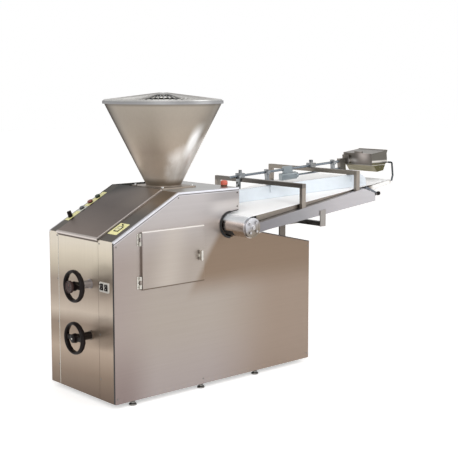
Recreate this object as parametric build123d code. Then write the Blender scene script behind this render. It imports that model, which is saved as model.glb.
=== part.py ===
"""Volumetric dough divider: stainless cabinet, dough hopper, front handwheels, and an inclined
discharge conveyor with a diagonal guide and a flour duster. Millimetres, +Z up, +X towards the
conveyor head, -Y towards the door side."""

import math
import os

from build123d import *

# Cabinet shell
cabinet_length = 1483.0
cabinet_width = 640.0
sheet = 3.0
foot_height = 28.0
front_height = 917.0
deck_height = 1150.0
slope_run = 440.0
nose_length = 893.0
rear_drop = 375.0
rear_slope_deg = 13.2
rim_depth = 14.0
rim_thickness = 8.0
rim_radius = 5.0
front_gap = 8.0
seam = 2.0
near_seam_y = -172.0
far_seam_y = 226.0

# Slope cover, a shallow lid over the middle of the slope
cover_lift = 5.0
cover_overlap = 4.0
cover_front_gap = 2.2
cover_lip = 9.0

# Base frame of square tube
tube = 40.0
frame_clear = 4.0
bearer_height = 30.0
front_upright_inset = 150.0
frame_slope_clear = 6.0
chamber_beam_back = 119.0
chamber_front_beam_x = 330.0
gearbox_x = 600.0
gearbox_tube_pitch = 180.0
wheel_post_x = 412.0
wheel_post_width = 76.0
wheel_post_thickness = 12.0

# Levelling feet
first_foot_x = 130.0
second_foot_x = 616.0
third_foot_x = 1043.0
foot_pad_radius = 22.0
foot_pad_height = 9.0
foot_stem_radius = 8.0

# Access door, hinges and latch on the near side
door_left = 178.0
door_right = 615.0
door_height = 320.0
door_over_front = 38.0
door_over_beam = 5.0
door_depth = 14.0
door_wall = 2.5
door_gap = 0.4
door_opening_inset = 14.0
hinge_axis_offset = 7.0
hinge_radius = 5.5
hinge_pin_radius = 3.0
hinge_length = 68.0
hinge_inset = 8.0
hinge_leaf_width = 22.0
hinge_leaf_thickness = 2.0
knuckle_gap = 0.4
hinge_leaf_gap = 1.0
hinge_fold = 2.0
latch_x = 579.0
latch_rise = 151.0
latch_boss_radius = 13.0
latch_stem_radius = 6.0
latch_wing = 58.0
latch_tongue = 18.0
latch_boss_height = 8.0
latch_wing_out = 26.0
latch_tongue_gap = 3.0
latch_tongue_thickness = 5.0

# Hopper and its wire guard
hopper_x = 585.0
hopper_wall = 2.5
hopper_plate_length = 256.0
hopper_plate_width = 296.0
hopper_plate_thickness = 8.0
neck_radius = 103.0
neck_height = 6.0
rim_outer_radius = 341.0
cone_height = 472.0
rim_band = 17.0
rim_band_proud = 11.0
guard_rise = 51.0
guard_gap = 1.0
guard_wire_radius = 2.6
guard_wire_count = 28
guard_hub_radius = 30.0
guard_hub_skirt = 3.5
guard_ring_drop = 2.0
guard_band = 7.0
guard_wire_end = 0.7
guard_wire_root = 3.6
guard_ring_radii = (127.0, 239.0)
guard_lug = 26.0
guard_pin_radius = 4.0
guard_lug_width = 60.0
guard_lug_step = 2.0

# Fasteners
bolt_radius = 8.0
bolt_head = 7.0
plate_bolt_inset = 20.0
screw_radius = 5.0
screw_head = 2.6
screw_inset = 15.0
front_screw_inset = 11.0
front_screw_drop = 24.0
front_screw_pitch = 250.0
front_screw_rows = 4
tensioner_length = 50.0
tensioner_rise = 13.0
tensioner_lock_out = 20.0
tensioner_lock = 8.0
tensioner_lock_radius = 10.0

# Controls on the sloped strips
control_y = 288.0
knob_x = 126.0
jog_x = 205.0
stop_x = 264.0
start_x = 317.0
button_radius = 12.5
button_height = 9.0
button_stem_radius = 6.0
button_stem_length = 16.0
button_travel = 3.0
collar_radius = 15.5
collar_height = 4.0
knob_radius = 14.0
knob_height = 34.0
knob_stem_radius = 4.0
counter_x = 97.0
counter_y = -230.0
counter_length = 48.0
counter_width = 40.0
counter_height = 3.0
counter_button_radius = 5.0
counter_button_offset = 34.0
counter_corner = 3.0
button_edge = 2.0
knob_pointer = 4.0
side_gap = 0.5
running_gap = 0.05
past = 1.0

# Switches on the front, left of the near seam
switch_y = -233.0
switch_z = 661.0
switch_frame_width = 86.0
switch_frame_height = 54.0
switch_frame_depth = 7.0
switch_pitch = 42.0
rocker_width = 28.0
rocker_height = 36.0
rocker_depth = 14.0
rocker_swing = 10.0
rocker_pin_radius = 2.5
rocker_pin_length = 4.0
rocker_tip = 5.0
rocker_dip = 1.0
rocker_taper = 4.0
switch_corner = 4.0

# Emergency stop on the deck
estop_inset = 24.0
estop_y = -214.0
estop_base_radius = 19.0
estop_base_height = 12.0
estop_cap_radius = 21.0
estop_cap_height = 17.0
estop_rest_gap = 1.0
estop_travel = 6.0
estop_stem_radius = 8.0
estop_stem_below = 8.0
estop_base_edge = 3.0
estop_cap_edge = 2.0

# Front handwheels, their screws and nuts
wheel_y = -92.0
weight_wheel_z = 660.0
pressure_wheel_z = 373.0
wheel_plane = 105.0
wheel_radius = 90.0
wheel_rim_half_height = 9.0
wheel_rim_half_depth = 16.0
wheel_hub_radius = 24.0
wheel_hub_length = 50.0
wheel_screw_seat = 8.0
spoke_height = 38.0
spoke_thickness = 13.0
dial_radius = 34.0
dial_depth = 16.0
screw_shaft_radius = 12.0
bush_radius = 22.0
bush_length = 58.0
bush_flange_radius = 27.0
bush_flange = 5.0
bush_sleeve_radius = 18.0
nut_length = 50.0
nut_size = 60.0
nut_x = 230.0
nut_rail = 14.0
nut_corner = 6.0
screw_lead = 5.0
wheel_turns = 4.0

# Dough chamber, piston, knife and measuring drum under the deck
chamber_front = 446.0
chamber_half_width = 122.0
chamber_floor = 26.0
channel_half_width = 100.0
channel_height = 80.0
knife_thickness = 8.0
knife_groove = 9.0
knife_cover = 170.0
knife_reach = 230.0
knife_lap = 6.0
knife_travel = 165.0
inlet_radius = 75.0
inlet_mouth_radius = 96.0
piston_length = 44.0
piston_stroke = 190.0
piston_arm = 20.0
piston_arm_half_width = 12.0
piston_arm_drop = 80.0
drum_radius = 52.0
drum_centre_below_deck = 64.0
drum_centre_inset = 78.0
drum_half_length = 130.0
drum_shaft_radius = 15.0
cheek = 15.0
cheek_margin = 14.0
pocket_radius = 34.0
pocket_pitch = 106.0
measure_length = 24.0
measure_stroke = 24.0
measure_lip = 1.0
slide_gap = 0.3

# Main gearmotor and crank
gearbox_length = 220.0
gearbox_width = 200.0
gearbox_height = 260.0
motor_radius = 95.0
motor_length = 300.0
motor_foot = 16.0
motor_fin_count = 9
motor_fin_thickness = 8.0
motor_fin_height = 10.0
gearbox_corner = 20.0
crank_shaft_radius = 20.0
crank_disc_radius = 105.0
crank_disc_thickness = 25.0
crank_throw = 78.0
crank_pin_radius = 15.0
crank_pin_length = 40.0
crank_side_gap = 12.0

# Conveyor: the tail drum's axis, then along and square to the belt
tail_inset = 70.0
tail_below_deck = 213.0
conveyor_deg = 6.5
conveyor_y = -107.5
rail_half = 402.5
rail_wall = 4.0
rail_flange = 30.0
rail_foot_flange = 22.0
rail_start = 66.0
rail_past_tie = 117.0
rail_top_tail = 18.0
rail_top_head = 49.5
rail_bottom_tail = -35.0
rail_bottom_head = -46.0
rail_nose = 97.0
rail_nose_drop = 46.0
boss_radius = 56.5
boss_depth = 18.0
boss_proud = 6.0
roller_radius = 54.0
belt_half = 368.0
belt_thickness = 2.5
belt_gap = 0.3
nose_radius = 12.0
nose_past_rail = 182.0
axle_radius = 15.0
nose_pin_radius = 5.0
end_gap = 0.5
bed_plate = 3.0
bed_start = 72.0
bed_end_gap = 6.0
tie = 30.0
tie_start = 250.0
tie_pitch = 350.0
tie_count = 3
nose_plate = 6.0
nose_plate_gap = 3.0
nose_tip = 13.0
guard_air = 2.0
guard_wall = 2.5
guard_tab_depth = 4.0
slot_clearance = 17.2
trim_radial = 6.0
trim_side = 4.0
trim_from_deg = 82.0
trim_to_deg = 262.0
scraper_slot_width = 46.0
scraper_slot_height = 16.0
scraper_slot_out = 16.0

# Conveyor supports
leg_out = 430.0
leg_width = 50.0
leg_thickness = 8.0
leg_top_depth = 30.0
cross_bar_out = 577.0
cross_bar_drop = 29.0
cross_bar = 30.0
cross_bar_corner = 6.0
bracket_width = 46.0
bracket_thickness = 6.0

# Gantries over the belt
first_gantry_out = 423.0
first_gantry_rise = 223.0
second_gantry_out = 904.0
second_gantry_rise = 273.0
gantry_tube_x = 31.0
gantry_tube_y = 22.0
gantry_inset = 6.0
gantry_beam = 26.0
gantry_corner = 4.0

# Diagonal guide standing over the belt
guide_start_out = 137.0
guide_start_y = -40.0
guide_end_out = 1028.0
guide_end_y = -466.0
guide_height = 80.0
guide_thickness = 6.0
guide_gap = 2.0
guide_corner = 55.0
guide_tab = 44.0
guide_tab_thickness = 6.0

# Boom rod, drive shaft and clamps that carry the flour duster
boom_y = 61.0
boom_end_y = -172.0
rod_radius = 8.0
rod_lift = 10.0
rod_tail = 70.0
rod_end_gap = 8.0
shaft_radius = 6.0
shaft_drop = 46.0
saddle = 44.0
saddle_cap = 10.0
clamp_knob_radius = 11.0
clamp_knob_length = 20.0
hanger_thickness = 16.0
hanger_width = 34.0
first_hanger_u = 185.0
second_hanger_u = 668.0
duster_motor_u = 280.0
duster_motor_length = 110.0
duster_motor_size = 46.0
duster_motor_neck = 16.0

# Flour duster at the conveyor head
duster_out = 1137.0
duster_length = 150.0
duster_width = 242.0
duster_y = -289.0
duster_rise = 360.0
duster_box_height = 72.0
duster_wall = 2.5
duster_flange = 9.0
duster_flange_thickness = 4.0
trough_depth = 45.0
trough_top = 120.0
trough_bottom = 62.0
brush_radius = 20.0
brush_core = 7.0
brush_teeth = 18
brush_drop = 20.0
flour_slot = 8.0
flour_slot_inset = 20.0
lid_thickness = 3.0
lid_gap = 0.5
lid_hinge_radius = 5.0
lid_pin_radius = 2.5
lid_ear = 14.0
lid_overhang = 2.0
lid_corner = 6.0
lid_grip_length = 60.0
lid_grip_width = 14.0
lid_grip_height = 10.0
lid_grip_inset = 12.0
gear_head = 40.0
arm_radius = 6.0
arm_reach = 30.0

# Derived places
half_width = cabinet_width / 2
inner_half = half_width - sheet
rear_height = deck_height - rear_drop
tail_x = nose_length - tail_inset
tail_z = deck_height - tail_below_deck
knife_rest_y = knife_travel - inlet_radius - knife_lap
pocket_edge = math.sqrt(drum_radius ** 2 - pocket_radius ** 2) - measure_lip
pocket_depth = drum_radius - pocket_edge + measure_stroke + measure_length + slide_gap
drum_centre_x = nose_length - drum_centre_inset
chamber_beam_x = drum_centre_x - chamber_beam_back
gearbox_tube_x = (gearbox_x, gearbox_x + gearbox_tube_pitch)
foot_x = (first_foot_x, second_foot_x, third_foot_x)
estop_x = nose_length - estop_inset
neck_top = deck_height + hopper_plate_thickness + neck_height
rim_bottom = neck_top + cone_height
guard_apex = rim_bottom + rim_band + guard_rise
tie_u = [tie_start + tie_pitch * index for index in range(tie_count)]
rail_length = tie_u[-1] + rail_past_tie
nose_u = rail_length + nose_past_rail
leg_x = tail_x + leg_out
cross_bar_x = tail_x + cross_bar_out
cross_bar_z = tail_z - cross_bar_drop
gantry_x = (tail_x + first_gantry_out, tail_x + second_gantry_out)
gantry_top = (tail_z + first_gantry_rise, tail_z + second_gantry_rise)
guide_start_x = tail_x + guide_start_out
guide_end_x = tail_x + guide_end_out
hanger_u = (first_hanger_u, second_hanger_u)
duster_x = tail_x + duster_out
duster_top = tail_z + duster_rise
slope_deg = math.degrees(math.atan2(deck_height - front_height, slope_run))
slope_tan = math.tan(math.radians(slope_deg))
slope_cos = math.cos(math.radians(slope_deg))
slope_length = slope_run / slope_cos
cover_overhang = cover_lip * slope_tan + sheet + cover_front_gap
slope_plane = Plane((0, 0, front_height), x_dir=(slope_cos, 0, slope_cos * slope_tan),
                    z_dir=(-slope_cos * slope_tan, 0, slope_cos))
conveyor_cos = math.cos(math.radians(conveyor_deg))
conveyor_sin = math.sin(math.radians(conveyor_deg))
conveyor_plane = Plane((tail_x, conveyor_y, tail_z), x_dir=(conveyor_cos, 0, conveyor_sin),
                       z_dir=(-conveyor_sin, 0, conveyor_cos))
frame_bottom = foot_height + frame_clear
frame_deck = frame_bottom + tube
chamber_top = deck_height - sheet
drum_centre_z = deck_height - drum_centre_below_deck
channel_bottom = drum_centre_z - channel_height / 2
channel_top = drum_centre_z + channel_height / 2
chamber_bottom = channel_bottom - chamber_floor
bearer_bottom = chamber_bottom - bearer_height
slope_foot = (bearer_bottom + frame_slope_clear - front_height) / slope_tan
front_upright_x = max(front_upright_inset, slope_foot)
door_top = min(front_height + door_over_front, bearer_bottom - tube + door_over_beam)
door_bottom = door_top - door_height
latch_z = door_bottom + latch_rise
belt_inner = roller_radius + belt_gap
belt_outer = belt_inner + belt_thickness
nose_w = roller_radius - nose_radius
near_rail_y = conveyor_y - rail_half
far_rail_y = conveyor_y + rail_half
hinge_x = door_left - hinge_axis_offset
hinge_y = -half_width - door_gap - door_depth / 2
boom_z = gantry_top[0] + rod_lift
boom_rise = (gantry_top[1] - gantry_top[0]) / (gantry_x[1] - gantry_x[0])
boom_run = duster_x - gantry_x[0]
boom_vector = Vector(boom_run, boom_end_y - boom_y, boom_rise * boom_run)
boom_length = boom_vector.length
boom_plane = Plane((gantry_x[0], boom_y, boom_z), x_dir=boom_vector,
                   z_dir=boom_vector.cross(Vector(0, 0, 1)).cross(boom_vector))
duster_plane = Plane((duster_x, duster_y, duster_top), x_dir=(conveyor_cos, 0, conveyor_sin),
                     z_dir=(-conveyor_sin, 0, conveyor_cos))
brush_w = -duster_box_height - duster_flange_thickness - brush_drop
brush_u = duster_length / 2


def slope_z(x):
    return front_height + slope_tan * x


def rear_z(x):
    return rear_height + math.tan(math.radians(rear_slope_deg)) * (cabinet_length - x)


def rail_top(u):
    share = (u - rail_start) / (rail_length - rail_nose - rail_start)
    return rail_top_tail + (rail_top_head - rail_top_tail) * share


def conveyor_point(u, w):
    return (tail_x + u * conveyor_cos - w * conveyor_sin, tail_z + u * conveyor_sin + w * conveyor_cos)


def rail_top_z(x):
    x0, z0 = conveyor_point(rail_start, rail_top(rail_start))
    x1, z1 = conveyor_point(rail_length, rail_top(rail_length))
    return z0 + (x - x0) * (z1 - z0) / (x1 - x0)


def rail_bottom_z(x):
    x0, z0 = conveyor_point(rail_start, rail_bottom_tail)
    x1, z1 = conveyor_point(rail_length, rail_bottom_head)
    return z0 + (x - x0) * (z1 - z0) / (x1 - x0)


def belt_top_z(x):
    return tail_z + (x - tail_x) * conveyor_sin / conveyor_cos + belt_outer / conveyor_cos


# Small shape makers
def block(x0, x1, y0, y1, z0, z1):
    size = Box(abs(x1 - x0), abs(y1 - y0), abs(z1 - z0))
    return Pos((x0 + x1) / 2, (y0 + y1) / 2, (z0 + z1) / 2) * size


def side_plate(points, y0, y1):
    plane = Plane((0, y1, 0), x_dir=(1, 0, 0), z_dir=(0, -1, 0))
    return extrude(plane * make_face(Polyline(*points, close=True)), amount=y1 - y0)


def rod(start, end, radius):
    start, end = Vector(*start), Vector(*end)
    along = end - start
    plane = Plane(start, z_dir=along)
    return plane * Cylinder(radius, along.length, align=(Align.CENTER, Align.CENTER, Align.MIN))


def on_y(x, z, y0, y1, radius):
    return rod((x, y0, z), (x, y1, z), radius)


def on_x(y, z, x0, x1, radius):
    return rod((x0, y, z), (x1, y, z), radius)


def on_z(x, y, z0, z1, radius):
    return rod((x, y, z0), (x, y, z1), radius)


def slope_at(x, y):
    return slope_plane * Pos(x / slope_cos, y, 0)


def group(shapes):
    return Compound([solid for shape in shapes for solid in shape.solids()])


def belt_face(extra):
    """Loop round the tail drum and the nose roller, as a face in belt axes."""
    centres = [(0.0, 0.0, roller_radius + extra), (nose_u, nose_w, nose_radius + extra)]
    angles = []
    for (ax, aw, ar), (bx, bw, br) in (centres, centres[::-1]):
        heading = math.atan2(bw - aw, bx - ax)
        angles.append(heading - math.asin((ar - br) / math.hypot(bx - ax, bw - aw)) + math.pi / 2)
    upper, lower = angles[0], angles[1]
    while lower > upper:
        lower -= 2 * math.pi

    def around(circle, angle):
        return (circle[0] + circle[2] * math.cos(angle), circle[1] + circle[2] * math.sin(angle))

    tail, nose = centres
    nose_mid = (upper + lower) / 2
    outline = [Line(around(tail, upper), around(nose, upper)),
               ThreePointArc(around(nose, upper), around(nose, nose_mid), around(nose, lower)),
               Line(around(nose, lower), around(tail, lower)),
               ThreePointArc(around(tail, lower), around(tail, nose_mid + math.pi), around(tail, upper))]
    return make_face(outline)


def belt_solid(extra, y0, y1):
    plane = Plane(conveyor_plane.origin, x_dir=conveyor_plane.x_dir, z_dir=(0, -1, 0))
    face = plane.offset(-(y1 - conveyor_y)) * belt_face(extra)
    return extrude(face, amount=y1 - y0)


def belt_plate(points, v0, v1):
    """Plate with its outline along and square to the belt, v0 to v1 across from the belt's middle."""
    plane = Plane(conveyor_plane.origin, x_dir=conveyor_plane.x_dir, z_dir=(0, -1, 0))
    face = plane.offset(-v1) * make_face(Polyline(*points, close=True))
    return extrude(face, amount=v1 - v0)


def strand_start():
    """Where the rear cover clears the belt's lower run."""
    rise = math.tan(math.radians(conveyor_deg) + math.atan2(nose_w + roller_radius - nose_radius,
                                                            nose_u))
    fall = math.tan(math.radians(rear_slope_deg))
    low = tail_z - belt_outer / conveyor_cos - slot_clearance
    return (rear_height + fall * cabinet_length - low + rise * tail_x) / (rise + fall)


# Cabinet
def base_frame():
    y1, y0 = inner_half, inner_half - tube
    rear = cabinet_length - sheet
    parts = [block(sheet, rear, side * y0, side * y1, frame_bottom, frame_deck) for side in (-1, 1)]
    for x in (sheet, wheel_post_x - tube / 2, *gearbox_tube_x, rear - tube):
        parts.append(block(x, x + tube, -y1, y1, frame_bottom, frame_deck))
    beam_top = bearer_bottom
    beam_bottom = beam_top - tube
    rear_top = rear_z(rear) - 3 * sheet
    for side in (-1, 1):
        ya, yb = side * y0, side * y1
        parts.append(block(front_upright_x, front_upright_x + tube, ya, yb, frame_deck, beam_bottom))
        parts.append(block(chamber_beam_x, chamber_beam_x + tube, ya, yb, frame_deck, beam_bottom))
        parts.append(block(rear - tube, rear, ya, yb, frame_deck, rear_top))
        beam_start = front_upright_x + tube / 2
        parts.append(block(beam_start, chamber_beam_x + tube, ya, yb, beam_bottom, beam_top))
        ba, bb = side * (chamber_half_width - tube), side * chamber_half_width
        parts.append(block(chamber_front_beam_x, chamber_beam_x + tube, ba, bb, beam_top,
                           chamber_bottom))
    for x in (chamber_front_beam_x, chamber_beam_x):
        parts.append(block(x, x + tube, -y1, y1, beam_bottom, beam_top))
    parts.append(wheel_post())
    return fuse(parts)


def fuse(parts):
    return parts[0].fuse(*parts[1:]).clean()


def wheel_post():
    """Post with a bearing for each handwheel screw and a rail under each nut."""
    half = wheel_post_width / 2
    x0, x1 = wheel_post_x, wheel_post_x + wheel_post_thickness
    post = block(x0, x1, wheel_y - half, wheel_y + half, frame_deck, weight_wheel_z + half)
    for z in (weight_wheel_z, pressure_wheel_z):
        post -= on_x(wheel_y, z, x0 - past, x1 + past, screw_shaft_radius + running_gap)
        top = z - nut_size / 2 - slide_gap
        travel = screw_lead * wheel_turns + nut_length
        post += block(nut_x - travel, x0, wheel_y - nut_rail / 2, wheel_y + nut_rail / 2,
                      top - nut_rail, top)
    return post


def side_panel(side):
    """Side sheet with a rolled edge along the slope and the deck."""
    outline = [(0, foot_height), (0, front_height), (slope_run, deck_height), (nose_length, deck_height),
               (nose_length, rear_z(nose_length)), (cabinet_length, rear_height), (cabinet_length,
                                                                                   foot_height)]
    outer, inner = side * half_width, side * inner_half
    panel = side_plate(outline, min(outer, inner), max(outer, inner))
    drop = rim_thickness / slope_cos
    bend = (deck_height - rim_thickness - front_height + drop) / slope_tan
    rim = [(0, front_height), (slope_run, deck_height), (nose_length, deck_height),
           (nose_length, deck_height - rim_thickness), (bend, deck_height - rim_thickness),
           (0, front_height - drop)]
    lip = side * (half_width - rim_depth)
    panel += side_plate(rim, min(outer, lip), max(outer, lip))
    rolled = []
    for edge in panel.edges():
        middle = edge.center()
        on_top = middle.Z > min(slope_z(middle.X), deck_height) - 0.1
        if on_top and abs(middle.Y - outer) < 0.1 and edge.length > rim_depth + 1:
            rolled.append(edge)
    return fillet(rolled, rim_radius)


def near_side_panel():
    panel = side_panel(-1)
    inset = door_opening_inset
    opening = block(door_left + inset, door_right - inset, -half_width - past, -inner_half + past,
                    door_bottom + inset, door_top - inset)
    return panel - opening - belt_solid(slot_clearance + belt_outer - roller_radius, -half_width - past,
                                        -half_width + rim_depth + past)


def far_side_panel():
    return side_panel(1)


def front_panel():
    panel = block(0, sheet, near_seam_y + seam / 2, far_seam_y - seam / 2, foot_height,
                  front_sheet_top())
    for z in (weight_wheel_z, pressure_wheel_z):
        panel -= on_x(wheel_y, z, -past, sheet + past, bush_sleeve_radius)
    return panel


def front_sheet_top():
    return front_height - sheet / slope_cos


def front_strips():
    near = block(0, sheet, -inner_half + front_gap, near_seam_y - seam / 2, foot_height,
                 front_sheet_top())
    near -= block(-past, sheet + past, *switch_body_span(side_gap))
    far = block(0, sheet, far_seam_y + seam / 2, inner_half, foot_height, front_sheet_top())
    lip = half_width - rim_depth
    rim_low = front_height - rim_thickness / slope_cos
    near -= block(-past, sheet + past, -half_width, -lip, rim_low, front_height)
    far -= block(-past, sheet + past, lip, half_width, rim_low, front_height)
    return group([near, far])


def switch_body_span(extra):
    half_y = (switch_pitch + rocker_width) / 2 + rocker_pin_length + extra
    half_z = rocker_height / 2 + rocker_pin_length + extra
    return switch_y - half_y, switch_y + half_y, switch_z - half_z, switch_z + half_z


def slope_cover():
    y0, y1 = near_seam_y - cover_overlap, far_seam_y + cover_overlap
    length = slope_length - sheet
    top = block(-cover_overhang, length, y0, y1, cover_lift, cover_lift + sheet)
    lips = [block(-cover_overhang, -cover_overhang + sheet, y0, y1, -cover_lip, cover_lift),
            block(0, length, y0, y0 + sheet, 0, cover_lift),
            block(0, length, y1 - sheet, y1, 0, cover_lift)]
    cover = fuse([top, *lips])
    edges = cover.edges().filter_by(Axis.X).group_by(Axis.Z)[-1]
    return slope_plane * fillet(edges, sheet / 2)


def slope_sheet(y0, y1):
    drop = sheet / slope_cos
    outline = [(0, front_height - drop), (0, front_height), (slope_run, deck_height),
               (slope_run, deck_height - drop)]
    return side_plate(outline, y0, y1)


def slope_strips():
    lip = half_width - rim_depth
    near = slope_sheet(-lip, near_seam_y)
    far = slope_sheet(far_seam_y, lip)
    for x in (jog_x, stop_x, start_x):
        far -= slope_at(x, control_y) * Cylinder(button_stem_radius + side_gap, 4 * sheet)
    far -= slope_at(knob_x, control_y) * Cylinder(knob_stem_radius + running_gap, 4 * sheet)
    near -= slope_at(counter_button_x(), counter_y) * Cylinder(counter_button_radius / 2 + side_gap,
                                                               4 * sheet)
    return group([near, far])


def counter_button_x():
    return counter_x + counter_button_offset * slope_cos


def top_deck():
    lip = half_width - rim_depth
    deck = block(slope_run, nose_length, -lip, lip, chamber_top, deck_height)
    deck -= on_z(hopper_x, 0, chamber_top - past, deck_height + past, neck_radius - hopper_wall)
    return deck - on_z(estop_x, estop_y, chamber_top - past, deck_height + past,
                       estop_stem_radius + side_gap)


def rear_cover():
    start = strand_start()
    drop = sheet / math.cos(math.radians(rear_slope_deg))
    x1 = cabinet_length
    outline = [(start, rear_z(start)), (x1, rear_height), (x1, foot_height), (x1 - sheet, foot_height),
               (x1 - sheet, rear_z(x1 - sheet) - drop), (start, rear_z(start) - drop)]
    return side_plate(outline, -inner_half, inner_half)


def levelling_feet():
    feet = []
    y = inner_half - tube / 2
    for x in foot_x:
        for side in (-1, 1):
            pad = on_z(x, side * y, 0, foot_pad_height, foot_pad_radius)
            pad = fillet(pad.edges().group_by(Axis.Z)[-1], foot_pad_height / 3)
            feet.append(pad + on_z(x, side * y, foot_pad_height, frame_bottom, foot_stem_radius))
    return group(feet)


def screw_places():
    """Middle of each screw head on a side panel, as x and z."""
    low = foot_height + 2 * screw_inset
    return [(screw_inset, front_height - 2 * screw_inset), (slope_run, deck_height - 2 * screw_inset),
            (nose_length - screw_inset, deck_height - 2 * screw_inset),
            (nose_length - screw_inset, belt_top_z(nose_length) + 2.5 * screw_inset),
            (cabinet_length - screw_inset, rear_height - 2 * screw_inset),
            (cabinet_length - screw_inset, low), (screw_inset, low), (foot_x[1], low)]


def panel_screws():
    screws = []
    head = screw_head
    for side in (-1, 1):
        for x, z in screw_places():
            screws.append(on_y(x, z, side * half_width, side * (half_width + head), screw_radius))
    for y in (near_seam_y - front_screw_inset, far_seam_y + front_screw_inset):
        for row in range(front_screw_rows):
            z = front_height - front_screw_drop - row * front_screw_pitch
            screws.append(on_x(y, z, -head, 0, screw_radius))
    return group(screws)


def notch_trim():
    """Rubber edging over the panel's edge round the tail drum."""
    clear = slot_clearance + belt_outer
    ring = on_y(tail_x, tail_z, -half_width - trim_side, -inner_half + trim_side, clear + trim_radial)
    ring -= on_y(tail_x, tail_z, -half_width - trim_side - past, -inner_half + trim_side + past,
                 clear - trim_radial)
    reach = 4 * clear
    outline = [(tail_x, tail_z)]
    for share in (0, 0.25, 0.5, 0.75, 1):
        angle = math.radians(conveyor_deg + trim_from_deg + share * (trim_to_deg - trim_from_deg))
        outline.append((tail_x + reach * math.cos(angle), tail_z + reach * math.sin(angle)))
    wedge = side_plate(outline, -half_width - trim_side - past, -inner_half + trim_side + past)
    return (ring & wedge) - near_side_panel()


# Hopper
def hopper():
    plate_top = deck_height + hopper_plate_thickness
    top = rim_bottom + rim_band
    skirt = rim_outer_radius + rim_band_proud
    run = math.hypot(rim_outer_radius - neck_radius, rim_bottom - neck_top)
    level_wall = hopper_wall * run / (rim_bottom - neck_top)
    outline = [(neck_radius, plate_top), (neck_radius, neck_top), (rim_outer_radius, rim_bottom),
               (rim_outer_radius, top - hopper_wall), (skirt - hopper_wall, top - hopper_wall),
               (skirt - hopper_wall, rim_bottom), (skirt, rim_bottom), (skirt, top),
               (rim_outer_radius - level_wall, top), (rim_outer_radius - level_wall, rim_bottom),
               (neck_radius - hopper_wall, neck_top), (neck_radius - hopper_wall, plate_top)]
    section = Plane.XZ * make_face(Polyline(*outline, close=True))
    shell = Pos(hopper_x, 0, 0) * revolve(section, Axis.Z)
    length, width = hopper_plate_length / 2, hopper_plate_width / 2
    plate = block(hopper_x - length, hopper_x + length, -width, width, deck_height, plate_top)
    plate = fillet(plate.edges().filter_by(Axis.Z), plate_bolt_inset / 2)
    plate -= on_z(hopper_x, 0, deck_height - past, plate_top + past, neck_radius - hopper_wall)
    return fuse([shell, plate, *guard_lugs()])


def guard_axis():
    return rim_outer_radius + rim_band_proud + guard_lug / 2, rim_bottom + rim_band + guard_pin_radius


def guard_lugs():
    """Two ears on the rim's far side, with the guard's hinge pin between them."""
    y, z = guard_axis()
    half, ear = guard_lug_width / 2, guard_lug / 4
    lugs = []
    for side in (-1, 1):
        x0, x1 = sorted((hopper_x + side * half, hopper_x + side * (half - ear)))
        foot = block(x0, x1, rim_outer_radius, y + guard_lug / 3, rim_bottom + guard_lug_step,
                     rim_bottom + rim_band)
        clear = rim_outer_radius + rim_band_proud + side_gap
        ear_plate = block(x0, x1, clear, y + guard_lug / 3, rim_bottom + guard_lug_step, z)
        ear_eye = on_x(y, z, x0, x1, guard_lug / 3)
        lugs.append(fuse([foot - on_z(hopper_x, 0, rim_bottom, z, rim_outer_radius), ear_plate,
                          ear_eye]))
    lugs.append(on_x(y, z, hopper_x - half, hopper_x + half, guard_pin_radius))
    return lugs


def hopper_guard():
    """Shallow cone of radial wires with a hub, rings under the wires and a hinge sleeve."""
    base = rim_bottom + rim_band + guard_gap + guard_wire_radius
    edge = rim_outer_radius

    def height(radius):
        return guard_apex - (guard_apex - base) * radius / edge

    parts = [on_z(hopper_x, 0, height(guard_hub_radius) - guard_hub_skirt, guard_apex, guard_hub_radius)]
    inner, outer = guard_hub_radius - guard_wire_root, edge + guard_wire_end
    for index in range(guard_wire_count):
        angle = 2 * math.pi * (index + 0.5) / guard_wire_count
        parts.append(rod((hopper_x + inner * math.cos(angle), inner * math.sin(angle), height(inner)),
                         (hopper_x + outer * math.cos(angle), outer * math.sin(angle), height(outer)),
                         guard_wire_radius))
    for radius in guard_ring_radii:
        ring = Torus(radius, guard_wire_radius)
        parts.append(Pos(hopper_x, 0, height(radius) - guard_ring_drop) * ring)
    low = rim_bottom + rim_band + guard_gap
    band = on_z(hopper_x, 0, low, low + guard_band, edge + guard_band / 2)
    parts.append(band - on_z(hopper_x, 0, low - past, low + guard_band + past, edge - guard_band / 2))
    y, z = guard_axis()
    half = guard_lug_width / 2 - guard_lug / 4 - side_gap
    parts.append(on_x(y, z, hopper_x - half, hopper_x + half, 2 * guard_pin_radius))
    parts.append(block(hopper_x - half, hopper_x + half, edge, y, base, base + guard_wire_radius))
    bore = on_x(y, z, hopper_x - half - past, hopper_x + half + past, guard_pin_radius + running_gap)
    return fuse(parts) - bore


def hex_bolt(place, radius, height):
    return place * extrude(RegularPolygon(radius, 6), amount=height)


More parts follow.
